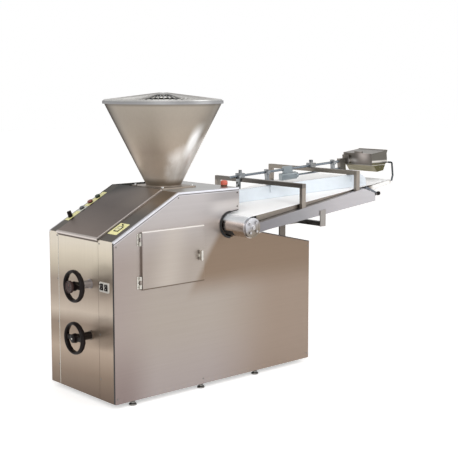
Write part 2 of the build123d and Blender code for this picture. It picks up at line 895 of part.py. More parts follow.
def hex_bolts():
    """Hopper plate bolts, gantry foot bolts, guide bolts, drum cap bolts and belt tensioners."""
    bolts = []
    reach_x = hopper_plate_length / 2 - plate_bolt_inset
    reach_y = hopper_plate_width / 2 - plate_bolt_inset
    for sx in (-1, 1):
        for sy in (-1, 1):
            place = Pos(hopper_x + sx * reach_x, sy * reach_y, deck_height + hopper_plate_thickness)
            bolts.append(hex_bolt(place, bolt_radius, bolt_head))
    for x in gantry_x:
        for side in (-1, 1):
            y = conveyor_y + side * (rail_half - gantry_inset - gantry_tube_y)
            z = rail_top_z(x) + 1.6 * bolt_radius
            place = Plane((x, y, z), z_dir=(0, -side, 0))
            bolts.append(hex_bolt(place, bolt_radius, bolt_head / 2))
    for side in (-1, 1):
        outer = conveyor_y + side * (rail_half + boss_proud)
        if side < 0:
            for angle in (45, 135, 225, 315):
                turn = math.radians(angle + conveyor_deg)
                x = tail_x + 0.62 * boss_radius * math.cos(turn)
                z = tail_z + 0.62 * boss_radius * math.sin(turn)
                bolts.append(hex_bolt(Plane((x, outer, z), z_dir=(0, side, 0)), bolt_radius, bolt_head))
        bolts.append(tensioner(side))
    return group(bolts)


def tensioner(side):
    """Take-up screw that stands out of the rail's end plate."""
    across = side * (rail_half - rail_flange / 2)
    low = (rail_bottom_head + rail_top_head - rail_nose_drop) / 2 + tensioner_rise
    start = rail_length
    stud = Pos(start, across, low) * (Rot(0, 90, 0) * Cylinder(
        bolt_radius / 2, tensioner_length, align=(Align.CENTER, Align.CENTER, Align.MIN)))
    lock = Pos(start + tensioner_lock_out, across, low) * (Rot(0, 90, 0) * extrude(
        RegularPolygon(tensioner_lock_radius, 6), amount=tensioner_lock))
    return conveyor_plane * (stud + lock)


# Door
def door():
    """Folded tray with a knuckle at each hinge."""
    y1 = -half_width - door_gap
    y0 = y1 - door_depth
    tray = block(door_left, door_right, y0, y1, door_bottom, door_top)
    tray = fillet(tray.edges().group_by(Axis.Y)[0], door_wall / 1.5)
    wall = door_wall
    tray -= block(door_left + wall, door_right - wall, y0 + wall, y1 + past, door_bottom + wall,
                  door_top - wall)
    tray -= on_y(latch_x, latch_z, y0 - past, y0 + wall + past, latch_stem_radius + running_gap)
    third = hinge_length / 3
    for low in hinge_places():
        z0, z1 = low + third + knuckle_gap, low + 2 * third - knuckle_gap
        knuckle = on_z(hinge_x, hinge_y, z0, z1, hinge_radius)
        arm = block(hinge_x, door_left + wall, hinge_y - wall / 2, hinge_y + wall / 2, z0, z1)
        bore = on_z(hinge_x, hinge_y, z0 - past, z1 + past, hinge_pin_radius + running_gap)
        tray += (knuckle + arm) - bore
    return tray


def hinge_places():
    return (door_bottom + hinge_inset, door_top - hinge_inset - hinge_length)


def door_hinges():
    hinges = []
    third = hinge_length / 3
    face = -half_width
    for low in hinge_places():
        parts = [on_z(hinge_x, hinge_y, low, low + hinge_length, hinge_pin_radius)]
        x0 = hinge_x - hinge_leaf_width
        fold = hinge_x - hinge_radius - hinge_leaf_gap
        parts.append(block(x0, fold, face - hinge_leaf_thickness, face, low, low + hinge_length))
        for start in (low, low + 2 * third):
            parts.append(on_z(hinge_x, hinge_y, start, start + third, hinge_radius))
            parts.append(block(fold - hinge_fold, hinge_x, hinge_y - door_wall / 2,
                               hinge_y + door_wall / 2, start, start + third))
            parts.append(block(fold - hinge_fold, fold, hinge_y, face, start, start + third))
        hinges.append(fuse(parts))
    return group(hinges)


def door_latch():
    """Quarter-turn wing handle with a short tongue inside the door."""
    face = -half_width - door_gap - door_depth
    back = face + door_wall
    boss = on_y(latch_x, latch_z, face - side_gap - latch_boss_height, face - side_gap,
                latch_boss_radius)
    wing = block(latch_x - latch_boss_radius / 2, latch_x + latch_boss_radius / 2, face - latch_wing_out,
                 face - latch_boss_height, latch_z - latch_wing / 2, latch_z + latch_wing / 2)
    wing = fillet(wing.edges().filter_by(Axis.Y), latch_boss_radius / 2.2)
    tongue_back = back + latch_tongue_gap + latch_tongue_thickness
    stem = on_y(latch_x, latch_z, face - latch_boss_height, tongue_back, latch_stem_radius)
    tongue = block(latch_x - latch_stem_radius, latch_x + latch_tongue, back + latch_tongue_gap,
                   tongue_back,
                   latch_z - latch_stem_radius, latch_z + latch_stem_radius)
    return fuse([boss, wing, stem, tongue])


# Controls
def control_frames():
    """Button collars, the counter's frame and the twin switch frame."""
    frames = []
    for x in (jog_x, stop_x, start_x):
        ring = Cylinder(collar_radius, collar_height, align=(Align.CENTER, Align.CENTER, Align.MIN))
        ring -= Cylinder(button_radius + side_gap, 3 * collar_height)
        frames.append(slope_at(x, control_y) * ring)
    bezel = Pos(0, 0, counter_height / 2) * Box(counter_length, counter_width, counter_height)
    frames.append(slope_at(counter_x, counter_y) * fillet(bezel.edges().filter_by(Axis.Z),
                                                          counter_corner))
    frames.append(switch_frame())
    return group(frames)


def switch_frame():
    half_y, half_z = switch_frame_width / 2, switch_frame_height / 2
    frame = block(-switch_frame_depth, 0, switch_y - half_y, switch_y + half_y, switch_z - half_z,
                  switch_z + half_z)
    frame = fillet(frame.edges().filter_by(Axis.X), switch_corner)
    frame += block(0, rocker_depth, *switch_body_span(0))
    for y in (switch_y - switch_pitch / 2, switch_y + switch_pitch / 2):
        ry, rz = rocker_width / 2 + side_gap, rocker_height / 2 + side_gap
        frame -= block(-switch_frame_depth - past, rocker_depth + past, y - ry, y + ry, switch_z - rz,
                       switch_z + rz)
        pin = rocker_width / 2 + rocker_pin_length - side_gap
        frame -= on_y(0, switch_z, y - pin - side_gap, y + pin + side_gap,
                      rocker_pin_radius + running_gap)
    return frame


def rocker(y):
    """Two-faced rocker on a cross pin."""
    front = switch_frame_depth
    half = rocker_height / 2 - rocker_depth * math.tan(math.radians(rocker_swing))
    tip, back = -front - rocker_tip, rocker_depth / 2
    outline = [(tip, switch_z - half), (-front - rocker_dip, switch_z), (tip, switch_z + half),
               (back, switch_z + half - rocker_taper), (back, switch_z - half + rocker_taper)]
    body = side_plate(outline, y - rocker_width / 2, y + rocker_width / 2)
    pin = rocker_width / 2 + rocker_pin_length - side_gap
    return body + on_y(0, switch_z, y - pin, y + pin, rocker_pin_radius)


def mains_switch():
    return rocker(switch_y - switch_pitch / 2)


def belt_switch():
    return rocker(switch_y + switch_pitch / 2)


def push_button(x):
    low = button_travel + side_gap
    cap = Pos(0, 0, low + button_height / 2) * Cylinder(button_radius, button_height)
    cap = fillet(cap.edges().group_by(Axis.Z)[-1], button_edge)
    stem = Pos(0, 0, low - button_stem_length / 2) * Cylinder(button_stem_radius, button_stem_length)
    return slope_at(x, control_y) * (cap + stem)


def jog_button():
    return push_button(jog_x)


def stop_button():
    return push_button(stop_x)


def start_button():
    return push_button(start_x)


def counter_button():
    low = button_travel + side_gap
    cap = Pos(0, 0, low + counter_button_radius / 2) * Cylinder(counter_button_radius,
                                                                counter_button_radius)
    stem = Pos(0, 0, low - button_stem_length / 2) * Cylinder(counter_button_radius / 2,
                                                              button_stem_length)
    return slope_at(counter_button_x(), counter_y) * (cap + stem)


def speed_knob():
    skirt = Pos(0, 0, side_gap) * Cone(knob_radius, knob_radius * 0.72, knob_height,
                                       align=(Align.CENTER, Align.CENTER, Align.MIN))
    top = side_gap + knob_height
    skirt = fillet(skirt.edges().group_by(Axis.Z)[-1], button_edge)
    pointer = Pos(knob_radius * 0.55, 0, top / 2 + side_gap) * Box(knob_radius * 1.1, knob_pointer, top)
    stem = Pos(0, 0, -button_stem_length / 2 + past) * Cylinder(knob_stem_radius, button_stem_length)
    return slope_at(knob_x, control_y) * fuse([skirt, pointer, stem])


def estop_base():
    low, high = deck_height, deck_height + estop_base_height
    base = on_z(estop_x, estop_y, low, high, estop_base_radius)
    base = fillet(base.edges().group_by(Axis.Z)[-1], estop_base_edge)
    return base - on_z(estop_x, estop_y, low - past, high + past, estop_stem_radius + running_gap)


def estop_button():
    low = deck_height + estop_base_height + estop_travel + estop_rest_gap
    cap = on_z(estop_x, estop_y, low, low + estop_cap_height, estop_cap_radius)
    cap = fillet(cap.edges().group_by(Axis.Z)[-1], estop_cap_height * 0.45)
    cap = fillet(cap.edges().group_by(Axis.Z)[0], estop_cap_edge)
    return cap + on_z(estop_x, estop_y, deck_height - estop_stem_below, low + past, estop_stem_radius)


# Handwheels
def handwheel(z, dial):
    """Two-spoke wheel; the weight wheel carries a round indicator in its hub."""
    ring = wheel_radius - wheel_rim_half_height
    section = Pos(0, ring, 0) * Ellipse(wheel_rim_half_depth, wheel_rim_half_height)
    rim = Pos(-wheel_plane, wheel_y, z) * revolve(section, Axis.X)
    hub_front = -wheel_plane - wheel_hub_length * 0.4
    hub = on_x(wheel_y, z, hub_front, hub_front + wheel_hub_length, wheel_hub_radius)
    spokes = block(-wheel_plane - spoke_thickness / 2, -wheel_plane + spoke_thickness / 2,
                   wheel_y - ring,
                   wheel_y + ring, z - spoke_height / 2, z + spoke_height / 2)
    parts = [rim, hub, spokes]
    if dial:
        parts.append(on_x(wheel_y, z, hub_front - dial_depth, hub_front, dial_radius))
    wheel = fuse(parts)
    return wheel - on_x(wheel_y, z, hub_front + wheel_screw_seat, 0,
                        screw_shaft_radius + running_gap / 2)


def wheel_screw(z):
    hub_front = -wheel_plane - wheel_hub_length * 0.4
    return on_x(wheel_y, z, hub_front + wheel_screw_seat, wheel_post_x + wheel_post_thickness,
                screw_shaft_radius)


def wheel_nut(z):
    half = nut_size / 2
    nut = block(nut_x - nut_length / 2, nut_x + nut_length / 2, wheel_y - half, wheel_y + half,
                z - half, z + half)
    nut = fillet(nut.edges().filter_by(Axis.X), nut_corner)
    return nut - on_x(wheel_y, z, nut_x - nut_length, nut_x + nut_length,
                      screw_shaft_radius + running_gap)


def wheel_bushes():
    bushes = []
    for z in (weight_wheel_z, pressure_wheel_z):
        bush = fuse([on_x(wheel_y, z, -bush_length, 0, bush_radius),
                     on_x(wheel_y, z, -bush_flange, 0, bush_flange_radius),
                     on_x(wheel_y, z, 0, 2 * sheet, bush_sleeve_radius - running_gap)])
        bushes.append(bush - on_x(wheel_y, z, -bush_length - past, 3 * sheet,
                                  screw_shaft_radius + running_gap))
    return group(bushes)


def weight_wheel():
    return handwheel(weight_wheel_z, True)


def weight_screw():
    return wheel_screw(weight_wheel_z)


def weight_nut():
    return wheel_nut(weight_wheel_z)


def pressure_wheel():
    return handwheel(pressure_wheel_z, False)


def pressure_screw():
    return wheel_screw(pressure_wheel_z)


def pressure_nut():
    return wheel_nut(pressure_wheel_z)


# Dividing mechanism
def dough_chamber():
    """Casting with the pressing channel, the knife groove, the inlet and the drum's cheeks."""
    end = drum_centre_x - drum_radius / 3
    width = chamber_half_width
    body = block(chamber_front, end, -width, width, chamber_bottom, chamber_top)
    reach = drum_half_length + end_gap
    cheek_x0 = drum_centre_x - drum_radius - cheek
    low = drum_centre_z - drum_radius - 1
    for side in (-1, 1):
        y0, y1 = sorted((side * reach, side * (reach + cheek)))
        body += block(cheek_x0, drum_centre_x + drum_shaft_radius + cheek_margin, y0, y1, low,
                      chamber_top)
        web0, web1 = sorted((side * (width - past), side * (reach + cheek)))
        body += block(cheek_x0 - cheek, cheek_x0, web0, web1, chamber_bottom, chamber_top)
    body -= on_y(drum_centre_x, drum_centre_z, -reach, reach, drum_radius + side_gap)
    body -= on_y(drum_centre_x, drum_centre_z, -reach - 2 * cheek, reach + 2 * cheek,
                 drum_shaft_radius + running_gap)
    body -= block(chamber_front - past, end + past, -channel_half_width, channel_half_width,
                  channel_bottom, channel_top)
    half = knife_cover / 2 + slide_gap
    body -= block(hopper_x - half, hopper_x + half, -channel_half_width - knife_groove, reach + cheek + past,
                  channel_top, channel_top + knife_thickness + 2 * slide_gap)
    body -= on_z(hopper_x, 0, channel_top, chamber_top, inlet_radius)
    funnel_low = channel_top + knife_thickness + 2 * slide_gap
    body -= Pos(hopper_x, 0, funnel_low) * Cone(inlet_radius, inlet_mouth_radius,
                                                chamber_top - funnel_low,
                                                align=(Align.CENTER, Align.CENTER, Align.MIN))
    arm = piston_arm_half_width + side_gap
    arm_x = piston_arm_x()
    body -= block(arm_x - side_gap, arm_x + piston_arm + piston_stroke + side_gap, -arm, arm,
                  chamber_bottom - past, channel_bottom + past)
    return body


def piston_arm_x():
    return chamber_front + (piston_length - piston_arm) / 2


def main_piston():
    g = slide_gap
    x0 = chamber_front + g
    head = block(x0, x0 + piston_length, -channel_half_width + g, channel_half_width - g,
                 channel_bottom + g, channel_top - g)
    half = piston_arm_half_width
    arm = block(piston_arm_x(), piston_arm_x() + piston_arm, -half, half,
                chamber_bottom - piston_arm_drop, channel_bottom + past)
    eye_z = chamber_bottom - piston_arm_drop + piston_arm
    return (head + arm) - on_y(piston_arm_x() + piston_arm / 2, eye_z, -2 * half, 2 * half,
                               piston_arm / 4)


def knife():
    low = channel_top + slide_gap
    half = knife_cover / 2
    return block(hopper_x - half, hopper_x + half, knife_rest_y, knife_rest_y + knife_reach, low,
                 low + knife_thickness)


def pocket_places():
    return (-pocket_pitch / 2, pocket_pitch / 2)


def measuring_drum():
    length = drum_half_length
    drum = on_y(drum_centre_x, drum_centre_z, -length, length, drum_radius)
    reach = length + end_gap + cheek
    drum += on_y(drum_centre_x, drum_centre_z, -reach, reach, drum_shaft_radius)
    face = drum_centre_x - drum_radius
    for y in pocket_places():
        drum -= on_x(y, drum_centre_z, face - past, face + pocket_depth, pocket_radius)
    return drum


def measuring_piston():
    floor = drum_centre_x - drum_radius + pocket_depth - slide_gap
    return group([on_x(y, drum_centre_z, floor - measure_length, floor, pocket_radius - running_gap)
                  for y in pocket_places()])


def crank_place():
    return gearbox_x + gearbox_length / 2, frame_deck + gearbox_height * 0.62


def gearmotor():
    """Worm gearbox on the base tubes with a finned motor behind it."""
    x0, x1 = gearbox_x, gearbox_x + gearbox_length
    half = gearbox_width / 2
    case = block(x0, x1, -half, half, frame_deck, frame_deck + gearbox_height)
    case = fillet(case.edges().filter_by(Axis.Z), gearbox_corner)
    z = frame_deck + gearbox_height / 2
    motor = on_x(0, z, x1, x1 + motor_length, motor_radius)
    fin = motor_fin_thickness / 2
    for index in range(motor_fin_count):
        x = x1 + motor_length * (index + 1) / (motor_fin_count + 1)
        motor += on_x(0, z, x - fin, x + fin, motor_radius + motor_fin_height)
    feet = block(x0 - motor_foot, x1 + motor_foot, -half - motor_foot, half + motor_foot, frame_deck,
                 frame_deck + motor_foot)
    cx, cz = crank_place()
    bore = on_y(cx, cz, -half - past, half + past, crank_shaft_radius + running_gap)
    return fuse([case, motor, feet]) - bore


def crank_shaft():
    cx, cz = crank_place()
    half = gearbox_width / 2
    disc0 = half + crank_side_gap
    disc1 = disc0 + crank_disc_thickness
    shaft = on_y(cx, cz, -half - crank_side_gap, disc0, crank_shaft_radius)
    disc = on_y(cx, cz, disc0, disc1, crank_disc_radius)
    pin = on_y(cx, cz + crank_throw, disc1, disc1 + crank_pin_length, crank_pin_radius)
    return fuse([shaft, disc, pin])


# Conveyor
def rail(side):
    """Tapered channel with a drum cap at the tail and an end plate at the head."""
    head = rail_length
    level = head - rail_nose
    outline = [(rail_start, rail_bottom_tail), (head, rail_bottom_head),
               (head, rail_top_head - rail_nose_drop), (level, rail_top_head), (rail_start,
                                                                                rail_top_tail)]

    def span(inner, outer):
        return sorted((side * inner, side * outer))

    web_in = rail_half - rail_wall
    parts = [belt_plate(outline, *span(web_in, rail_half))]
    top = [(rail_start, rail_top_tail - rail_wall), (rail_start, rail_top_tail), (level, rail_top_head),
           (level, rail_top_head - rail_wall)]
    parts.append(belt_plate(top, *span(rail_half - rail_flange, rail_half)))
    foot = [(rail_start, rail_bottom_tail), (rail_start, rail_bottom_tail + rail_wall),
            (head, rail_bottom_head + rail_wall), (head, rail_bottom_head)]
    parts.append(belt_plate(foot, *span(rail_half - rail_foot_flange, rail_half)))
    end = [(head - rail_wall, rail_bottom_head), (head, rail_bottom_head),
           (head, rail_top_head - rail_nose_drop),
           (head - rail_wall, rail_top_head - rail_nose_drop)]
    parts.append(belt_plate(end, *span(rail_half - rail_flange, rail_half)))
    outer = rail_half + boss_proud if side < 0 else inner_half - conveyor_y
    cap_y = sorted((conveyor_y + side * (rail_half - boss_depth + boss_proud),
                    conveyor_y + side * outer))
    parts.append(on_y(tail_x, tail_z, *cap_y, boss_radius))
    bridge = [(0, rail_bottom_tail), (rail_start, rail_bottom_tail), (rail_start, rail_top_tail),
              (0, rail_top_tail)]
    parts.append(belt_plate(bridge, *span(web_in, rail_half)))
    bore = on_y(tail_x, tail_z, cap_y[0] - past, cap_y[1] + past, axle_radius + running_gap)
    return fuse(parts) - bore


def near_rail():
    return rail(-1)


def far_rail():
    return rail(1)


def slider_bed():
    """Plate under the belt on cross ties, with the nose roller's side plates."""
    top = roller_radius - belt_gap
    low = top - bed_plate
    end = nose_u - nose_radius - bed_end_gap
    level = rail_length - rail_nose
    half = belt_half - bed_plate
    parts = [belt_plate([(bed_start, low), (bed_start, top), (end, top), (end, low)], -half, half)]
    skirt = [(bed_start, low), (level, low), (level, rail_top(level) - rail_wall - past),
             (bed_start, rail_top(bed_start) - rail_wall - past)]
    reach = rail_half - rail_wall
    for side in (-1, 1):
        parts.append(belt_plate(skirt, *sorted((side * half, side * (half - bed_plate)))))
    for u in tie_u:
        high = rail_top(u - tie / 2) - rail_wall
        outline = [(u - tie / 2, high - tie), (u - tie / 2, high), (u + tie / 2, high),
                   (u + tie / 2, high - tie)]
        parts.append(belt_plate(outline, -reach, reach))
    plates = nose_plate_outline()
    for side in (-1, 1):
        inner = belt_half + nose_plate_gap
        parts.append(belt_plate(plates, *sorted((side * inner, side * (inner + nose_plate)))))
    bed = fuse(parts)
    nx, nz = conveyor_point(nose_u, nose_w)
    return bed - on_y(nx, nz, conveyor_y - rail_half, conveyor_y + rail_half,
                      nose_pin_radius + running_gap)


def nose_plate_outline():
    start = tie_u[-1]
    high = rail_top(start - tie / 2) - rail_wall
    tip = nose_u + nose_tip
    return [(start, high - tie), (start, high), (nose_u, nose_w + nose_tip),
            (tip, nose_w + nose_tip / 2),
            (tip, nose_w - nose_tip / 2), (nose_u, nose_w - nose_tip)]


def belt():
    inner = belt_gap
    y0, y1 = conveyor_y - belt_half, conveyor_y + belt_half
    return belt_solid(inner + belt_thickness, y0, y1) - belt_solid(inner, y0 - past, y1 + past)


def drum_span():
    return rail_half - boss_depth + boss_proud - end_gap


def tail_drum():
    half = drum_span()
    drum = on_y(tail_x, tail_z, conveyor_y - half, conveyor_y + half, roller_radius)
    reach = rail_half + boss_proud
    return drum + on_y(tail_x, tail_z, conveyor_y - reach, conveyor_y + reach, axle_radius)


def nose_roller():
    nx, nz = conveyor_point(nose_u, nose_w)
    half = belt_half + nose_plate_gap - end_gap
    roller = on_y(nx, nz, conveyor_y - half, conveyor_y + half, nose_radius)
    reach = belt_half + nose_plate_gap + nose_plate
    return roller + on_y(nx, nz, conveyor_y - reach, conveyor_y + reach, nose_pin_radius)


def tail_guard():
    """Half shell in front of the tail drum, between the drum caps, with the scraper slot."""
    inner = belt_outer + guard_air
    outer = inner + guard_wall
    half = rail_half - boss_depth + boss_proud
    y0, y1 = conveyor_y - half, conveyor_y + half
    shell = on_y(tail_x, tail_z, y0, y1, outer) - on_y(tail_x, tail_z, y0 - past, y1 + past, inner)
    half_space = [(0, -2 * outer), (0, 2 * outer), (-2 * outer, 2 * outer), (-2 * outer, -2 * outer)]
    shell &= belt_plate(half_space, -half - past, half + past)
    slot_y = -half_width - scraper_slot_out
    angle = math.radians(225)
    slot_x, slot_z = tail_x + outer * math.cos(angle), tail_z + outer * math.sin(angle)
    size = scraper_slot_height / 2
    cut = block(slot_x - size, slot_x + size, slot_y - scraper_slot_width, slot_y, slot_z - size,
                slot_z + size)
    tabs = [guard_tab(side) for side in (-1, 1)]
    return fuse([shell - cut, *tabs])


def guard_tab(side):
    """Ear that carries the guard on a drum cap."""
    inner = roller_radius + belt_gap
    outer = belt_outer + guard_air + guard_wall
    half = rail_half - boss_depth + boss_proud
    y0, y1 = sorted((conveyor_y + side * half, conveyor_y + side * (half - guard_tab_depth)))
    ring = on_y(tail_x, tail_z, y0, y1, outer) - on_y(tail_x, tail_z, y0 - past, y1 + past, inner)
    span = [(0, -outer / 2), (0, outer / 2), (-2 * outer, outer / 2), (-2 * outer, -outer / 2)]
    return ring & belt_plate(span, -half - past, half + past)


def conveyor_brackets():
    """Legs on the rear cover, and plates that hang the cross bar from the rails."""
    low = cross_bar_z - cross_bar / 2
    half = leg_width / 2
    bar_face = cross_bar_x - cross_bar / 2
    top = cross_bar_z + cross_bar / 2
    x0, x1 = leg_x - half, leg_x + half
    near_leg = [(x0, rear_z(x0)), (x1, rear_z(x1)), (x1, low), (bar_face, low), (bar_face, top),
                (x0, top)]
    parts = [side_plate(near_leg, -inner_half, -inner_half + leg_thickness)]
    far_leg = [(x0, rear_z(x0)), (x1, rear_z(x1)), (x1, rail_bottom_z(leg_x) + leg_top_depth),
               (x0, rail_bottom_z(leg_x) + leg_top_depth)]
    parts.append(side_plate(far_leg, far_rail_y, far_rail_y + leg_thickness))
    for side in (-1, 1):
        y0, y1 = sorted((conveyor_y + side * rail_half, conveyor_y + side * (rail_half + bracket_thickness)))
        x0, x1 = cross_bar_x - bracket_width / 2, cross_bar_x + bracket_width / 2
        plate = [(x0, low), (x1, low), (x1, rail_bottom_z(x1) + leg_top_depth),
                 (x0, rail_bottom_z(x0) + leg_top_depth)]
        parts.append(side_plate(plate, y0, y1))
    return group(parts)


def cross_bar_tube():
    half = cross_bar / 2
    bar = block(cross_bar_x - half, cross_bar_x + half, near_rail_y, far_rail_y, cross_bar_z - half,
                cross_bar_z + half)
    return fillet(bar.edges().filter_by(Axis.Y), cross_bar_corner)


def gantry(x, top):
    """Inverted U of tube with its feet cut to the rails' top flanges."""
    half = gantry_tube_x / 2
    near, far = near_rail_y + gantry_inset, far_rail_y - gantry_inset
    parts = [block(x - half, x + half, near, far, top - gantry_beam, top)]
    post = [(x - half, rail_top_z(x - half)), (x + half, rail_top_z(x + half)), (x + half, top),
            (x - half, top)]
    parts.append(side_plate(post, near, near + gantry_tube_y))
    parts.append(side_plate(post, far - gantry_tube_y, far))
    frame = fuse(parts)
    return fillet(frame.edges().filter_by(Axis.Y).group_by(Axis.Z)[-1], gantry_corner)


def gantries():
    return group([gantry(x, top) for x, top in zip(gantry_x, gantry_top)])


def guide_y(x):
    share = (x - guide_start_x) / (guide_end_x - guide_start_x)
    return guide_start_y + share * (guide_end_y - guide_start_y)


def guide_plate():
    """Upright plate set across the belt, hung from both gantries by tabs."""
    u0 = (guide_start_x - tail_x) / conveyor_cos
    u1 = (guide_end_x - tail_x) / conveyor_cos
    y0, y1 = guide_start_y - conveyor_y, guide_end_y - conveyor_y
    length = math.hypot(u1 - u0, y1 - y0)
    turn = math.degrees(math.atan2(y1 - y0, u1 - u0))
    low = belt_outer + guide_gap
    plate = block(0, length, -guide_thickness / 2, guide_thickness / 2, low, low + guide_height)
    corner = plate.edges().filter_by(Axis.Y).sort_by(lambda edge: edge.center().X + edge.center().Z)[-1]
    plate = fillet(corner, guide_corner)
    parts = [conveyor_plane * (Pos(u0, y0, 0) * (Rot(0, 0, turn) * plate))]
    for x, top in zip(gantry_x, gantry_top):
        face = x + gantry_tube_x / 2
        y = guide_y(face)
        z0 = belt_top_z(face) + guide_height / 2
        parts.append(block(face, face + guide_tab_thickness, y - guide_tab / 2, y + guide_tab / 2, z0,
                           top))
    return fuse(parts)


# Boom and flour duster
def boom_rods():
    """Upper rod of the boom and the bent arm between the duster and the conveyor's nose."""
    upper = boom_plane * (Rot(0, 90, 0) * Pos(0, 0, -rod_tail) * Cylinder(
        rod_radius, boom_length + rod_tail - rod_end_gap, align=(Align.CENTER, Align.CENTER, Align.MIN)))
    return group([upper, duster_arm()])


def duster_point(u, v, w):
    return (duster_plane * Pos(u, v, w)).position


def duster_arm():
    low = -duster_box_height - duster_flange_thickness / 2
    side = -duster_width / 2 - duster_flange
    start = duster_point(duster_length, side, low)
    elbow = duster_point(duster_length, side - arm_reach, low)
    x, z = conveyor_point(nose_u, nose_w)
    plate = conveyor_y - belt_half - nose_plate_gap - nose_plate
    end = Vector(x + nose_tip / 2, plate - arm_radius, z + nose_tip / 2)
    path = FilletPolyline(start, elbow, end + Vector(2 * arm_radius, 0, 6 * arm_radius), end,
                          radius=2 * arm_radius)
    section = Plane(start, z_dir=elbow - start) * Circle(arm_radius)
    return sweep(section, path)


def saddle_block(x, top):
    """Clamp that seats the boom rod on a gantry beam."""
    share = (x - gantry_x[0]) / boom_run
    y = boom_y + share * (boom_end_y - boom_y)
    half = saddle / 2
    high = top + rod_lift + rod_radius + saddle_cap
    body = block(x - half, x + half, y - half, y + half, top, high)
    knob = on_z(x, y, high, high + clamp_knob_length, clamp_knob_radius)
    return body + knob


def boom_clamps():
    cut = boom_plane * (Rot(0, 90, 0) * Cylinder(rod_radius + running_gap, 4 * boom_length))
    parts = [saddle_block(x, top) - cut for x, top in zip(gantry_x, gantry_top)]
    for u in hanger_u:
        half = hanger_width / 2
        body = block(u - hanger_thickness / 2, u + hanger_thickness / 2, -half, half,
                     -shaft_drop - shaft_radius - saddle_cap, rod_radius + saddle_cap)
        knob = Pos(u, -half - clamp_knob_length / 2, 0) * (Rot(90, 0, 0) * Cylinder(
            clamp_knob_radius, clamp_knob_length))
        bore = Pos(u, 0, -shaft_drop) * (Rot(0, 90, 0) * Cylinder(shaft_radius + running_gap,
                                                                  2 * hanger_thickness))
        parts.append(boom_plane * ((body + knob) - bore) - cut)
    return group(parts)


def duster_motor():
    """Small gearmotor under the boom rod, with a saddle up to the rod."""
    half = duster_motor_size / 2
    u0, u1 = duster_motor_u, duster_motor_u + duster_motor_length
    body = block(u0, u1, -half, half, -shaft_drop - half, -shaft_drop + half)
    body = fillet(body.edges().filter_by(Axis.X), half / 2)
    strap = block(u0 + half, u1 - half, -half / 2, half / 2, -shaft_drop + half - past,
                  rod_radius + saddle_cap)
    neck = Pos(u1 + duster_motor_neck / 2, 0, -shaft_drop) * (Rot(0, 90, 0) * Cylinder(
        half * 0.7, duster_motor_neck))
    motor = fuse([body, strap, neck])
    motor -= Rot(0, 90, 0) * Cylinder(rod_radius + running_gap, 4 * boom_length)
    motor -= Pos(u1 + duster_motor_neck, 0, -shaft_drop) * (Rot(0, 90, 0) * Cylinder(
        shaft_radius + running_gap, 2 * duster_motor_neck))
    return boom_plane * motor


def shaft_end():
    """Along the boom, where the drive shaft ends inside the duster's gear head."""
    return boom_length - gear_head * 0.75


def duster_shaft():
    start = duster_motor_u + duster_motor_length + end_gap
    return boom_plane * (Pos(start, 0, -shaft_drop) * (Rot(0, 90, 0) * Cylinder(
        shaft_radius, shaft_end() - start, align=(Align.CENTER, Align.CENTER, Align.MIN))))


def duster_plate(points, v0, v1):
    plane = Plane(duster_plane.origin, x_dir=duster_plane.x_dir, z_dir=(0, -1, 0))
    return extrude(plane.offset(-v1) * make_face(Polyline(*points, close=True)), amount=v1 - v0)


def trough_points(inset):
    mid = duster_length / 2
    high = -duster_box_height - duster_flange_thickness
    wide, slim = trough_top / 2 - inset, trough_bottom / 2 - inset
    low = high - trough_depth + inset
    return [(mid - wide, high), (mid + wide, high), (mid + slim, low), (mid - slim, low)]


def duster_box():
    """Flour box with a flange, a trough under it and the drive's gear head on its back."""
    half, wall = duster_width / 2, duster_wall
    length, low = duster_length, -duster_box_height
    box = block(0, length, -half, half, low, 0)
    box -= block(wall, length - wall, -half + wall, half - wall, low - past, past)
    rim = duster_flange
    flange = block(-rim, length + rim, -half - rim, half + rim, low - duster_flange_thickness, low)
    mid, mouth = length / 2, trough_top / 2 - wall
    flange -= block(mid - mouth, mid + mouth, -half + 2 * wall, half - 2 * wall,
                    low - 2 * duster_flange_thickness, 0)
    shell = duster_plane * (box + flange)
    trough = duster_plate(trough_points(0), -half, half)
    trough -= duster_plate(trough_points(wall), -half + 2 * wall, half - 2 * wall)
    cut_low = low - duster_flange_thickness - trough_depth
    slot = duster_plane * block(mid - flour_slot, mid + flour_slot, -half + flour_slot_inset,
                                half - flour_slot_inset, cut_low - past, cut_low + 2 * duster_wall)
    bore = duster_plane * on_y(brush_u, brush_w, -half - past, half + past, brush_core + running_gap)
    head = boom_plane * block(boom_length - gear_head, boom_length, -gear_head / 2, gear_head / 2,
                              -shaft_drop - gear_head / 2, rod_radius + saddle_cap)
    head -= duster_plane * block(0, 2 * length, -2 * half, 2 * half, -3 * duster_box_height,
                                 duster_box_height)
    head += gear_head_foot()
    head -= boom_plane * (Rot(0, 90, 0) * Cylinder(rod_radius + running_gap, 4 * boom_length))
    head -= boom_plane * (Pos(0, 0, -shaft_drop) * (Rot(0, 90, 0) * Cylinder(
        shaft_radius + running_gap, shaft_end() + end_gap, align=(Align.CENTER, Align.CENTER,
                                                                  Align.MIN))))
    lid_ears = duster_plane * lid_ear_blocks()
    return fuse([shell, trough - slot - bore, head, lid_ears])


def gear_head_foot():
    """Pad that joins the gear head to the box's back."""
    top, half = -gear_head / 4, duster_width / 2
    return duster_plane * block(-gear_head / 3, 0, half - 1.4 * gear_head, half, -duster_box_height, top)


def lid_axis():
    return duster_length + lid_hinge_radius, lid_thickness / 2 + lid_gap


def lid_ear_blocks():
    u, w = lid_axis()
    half = duster_width / 2
    ears = []
    for side in (-1, 1):
        v0, v1 = sorted((side * half, side * (half - lid_ear)))
        ear = block(duster_length, u, v0, v1, -2 * lid_hinge_radius, w)
        ears.append(ear + on_y(u, w, v0, v1, lid_hinge_radius))
    pin = on_y(u, w, -half, half, lid_pin_radius)
    return fuse([*ears, pin])


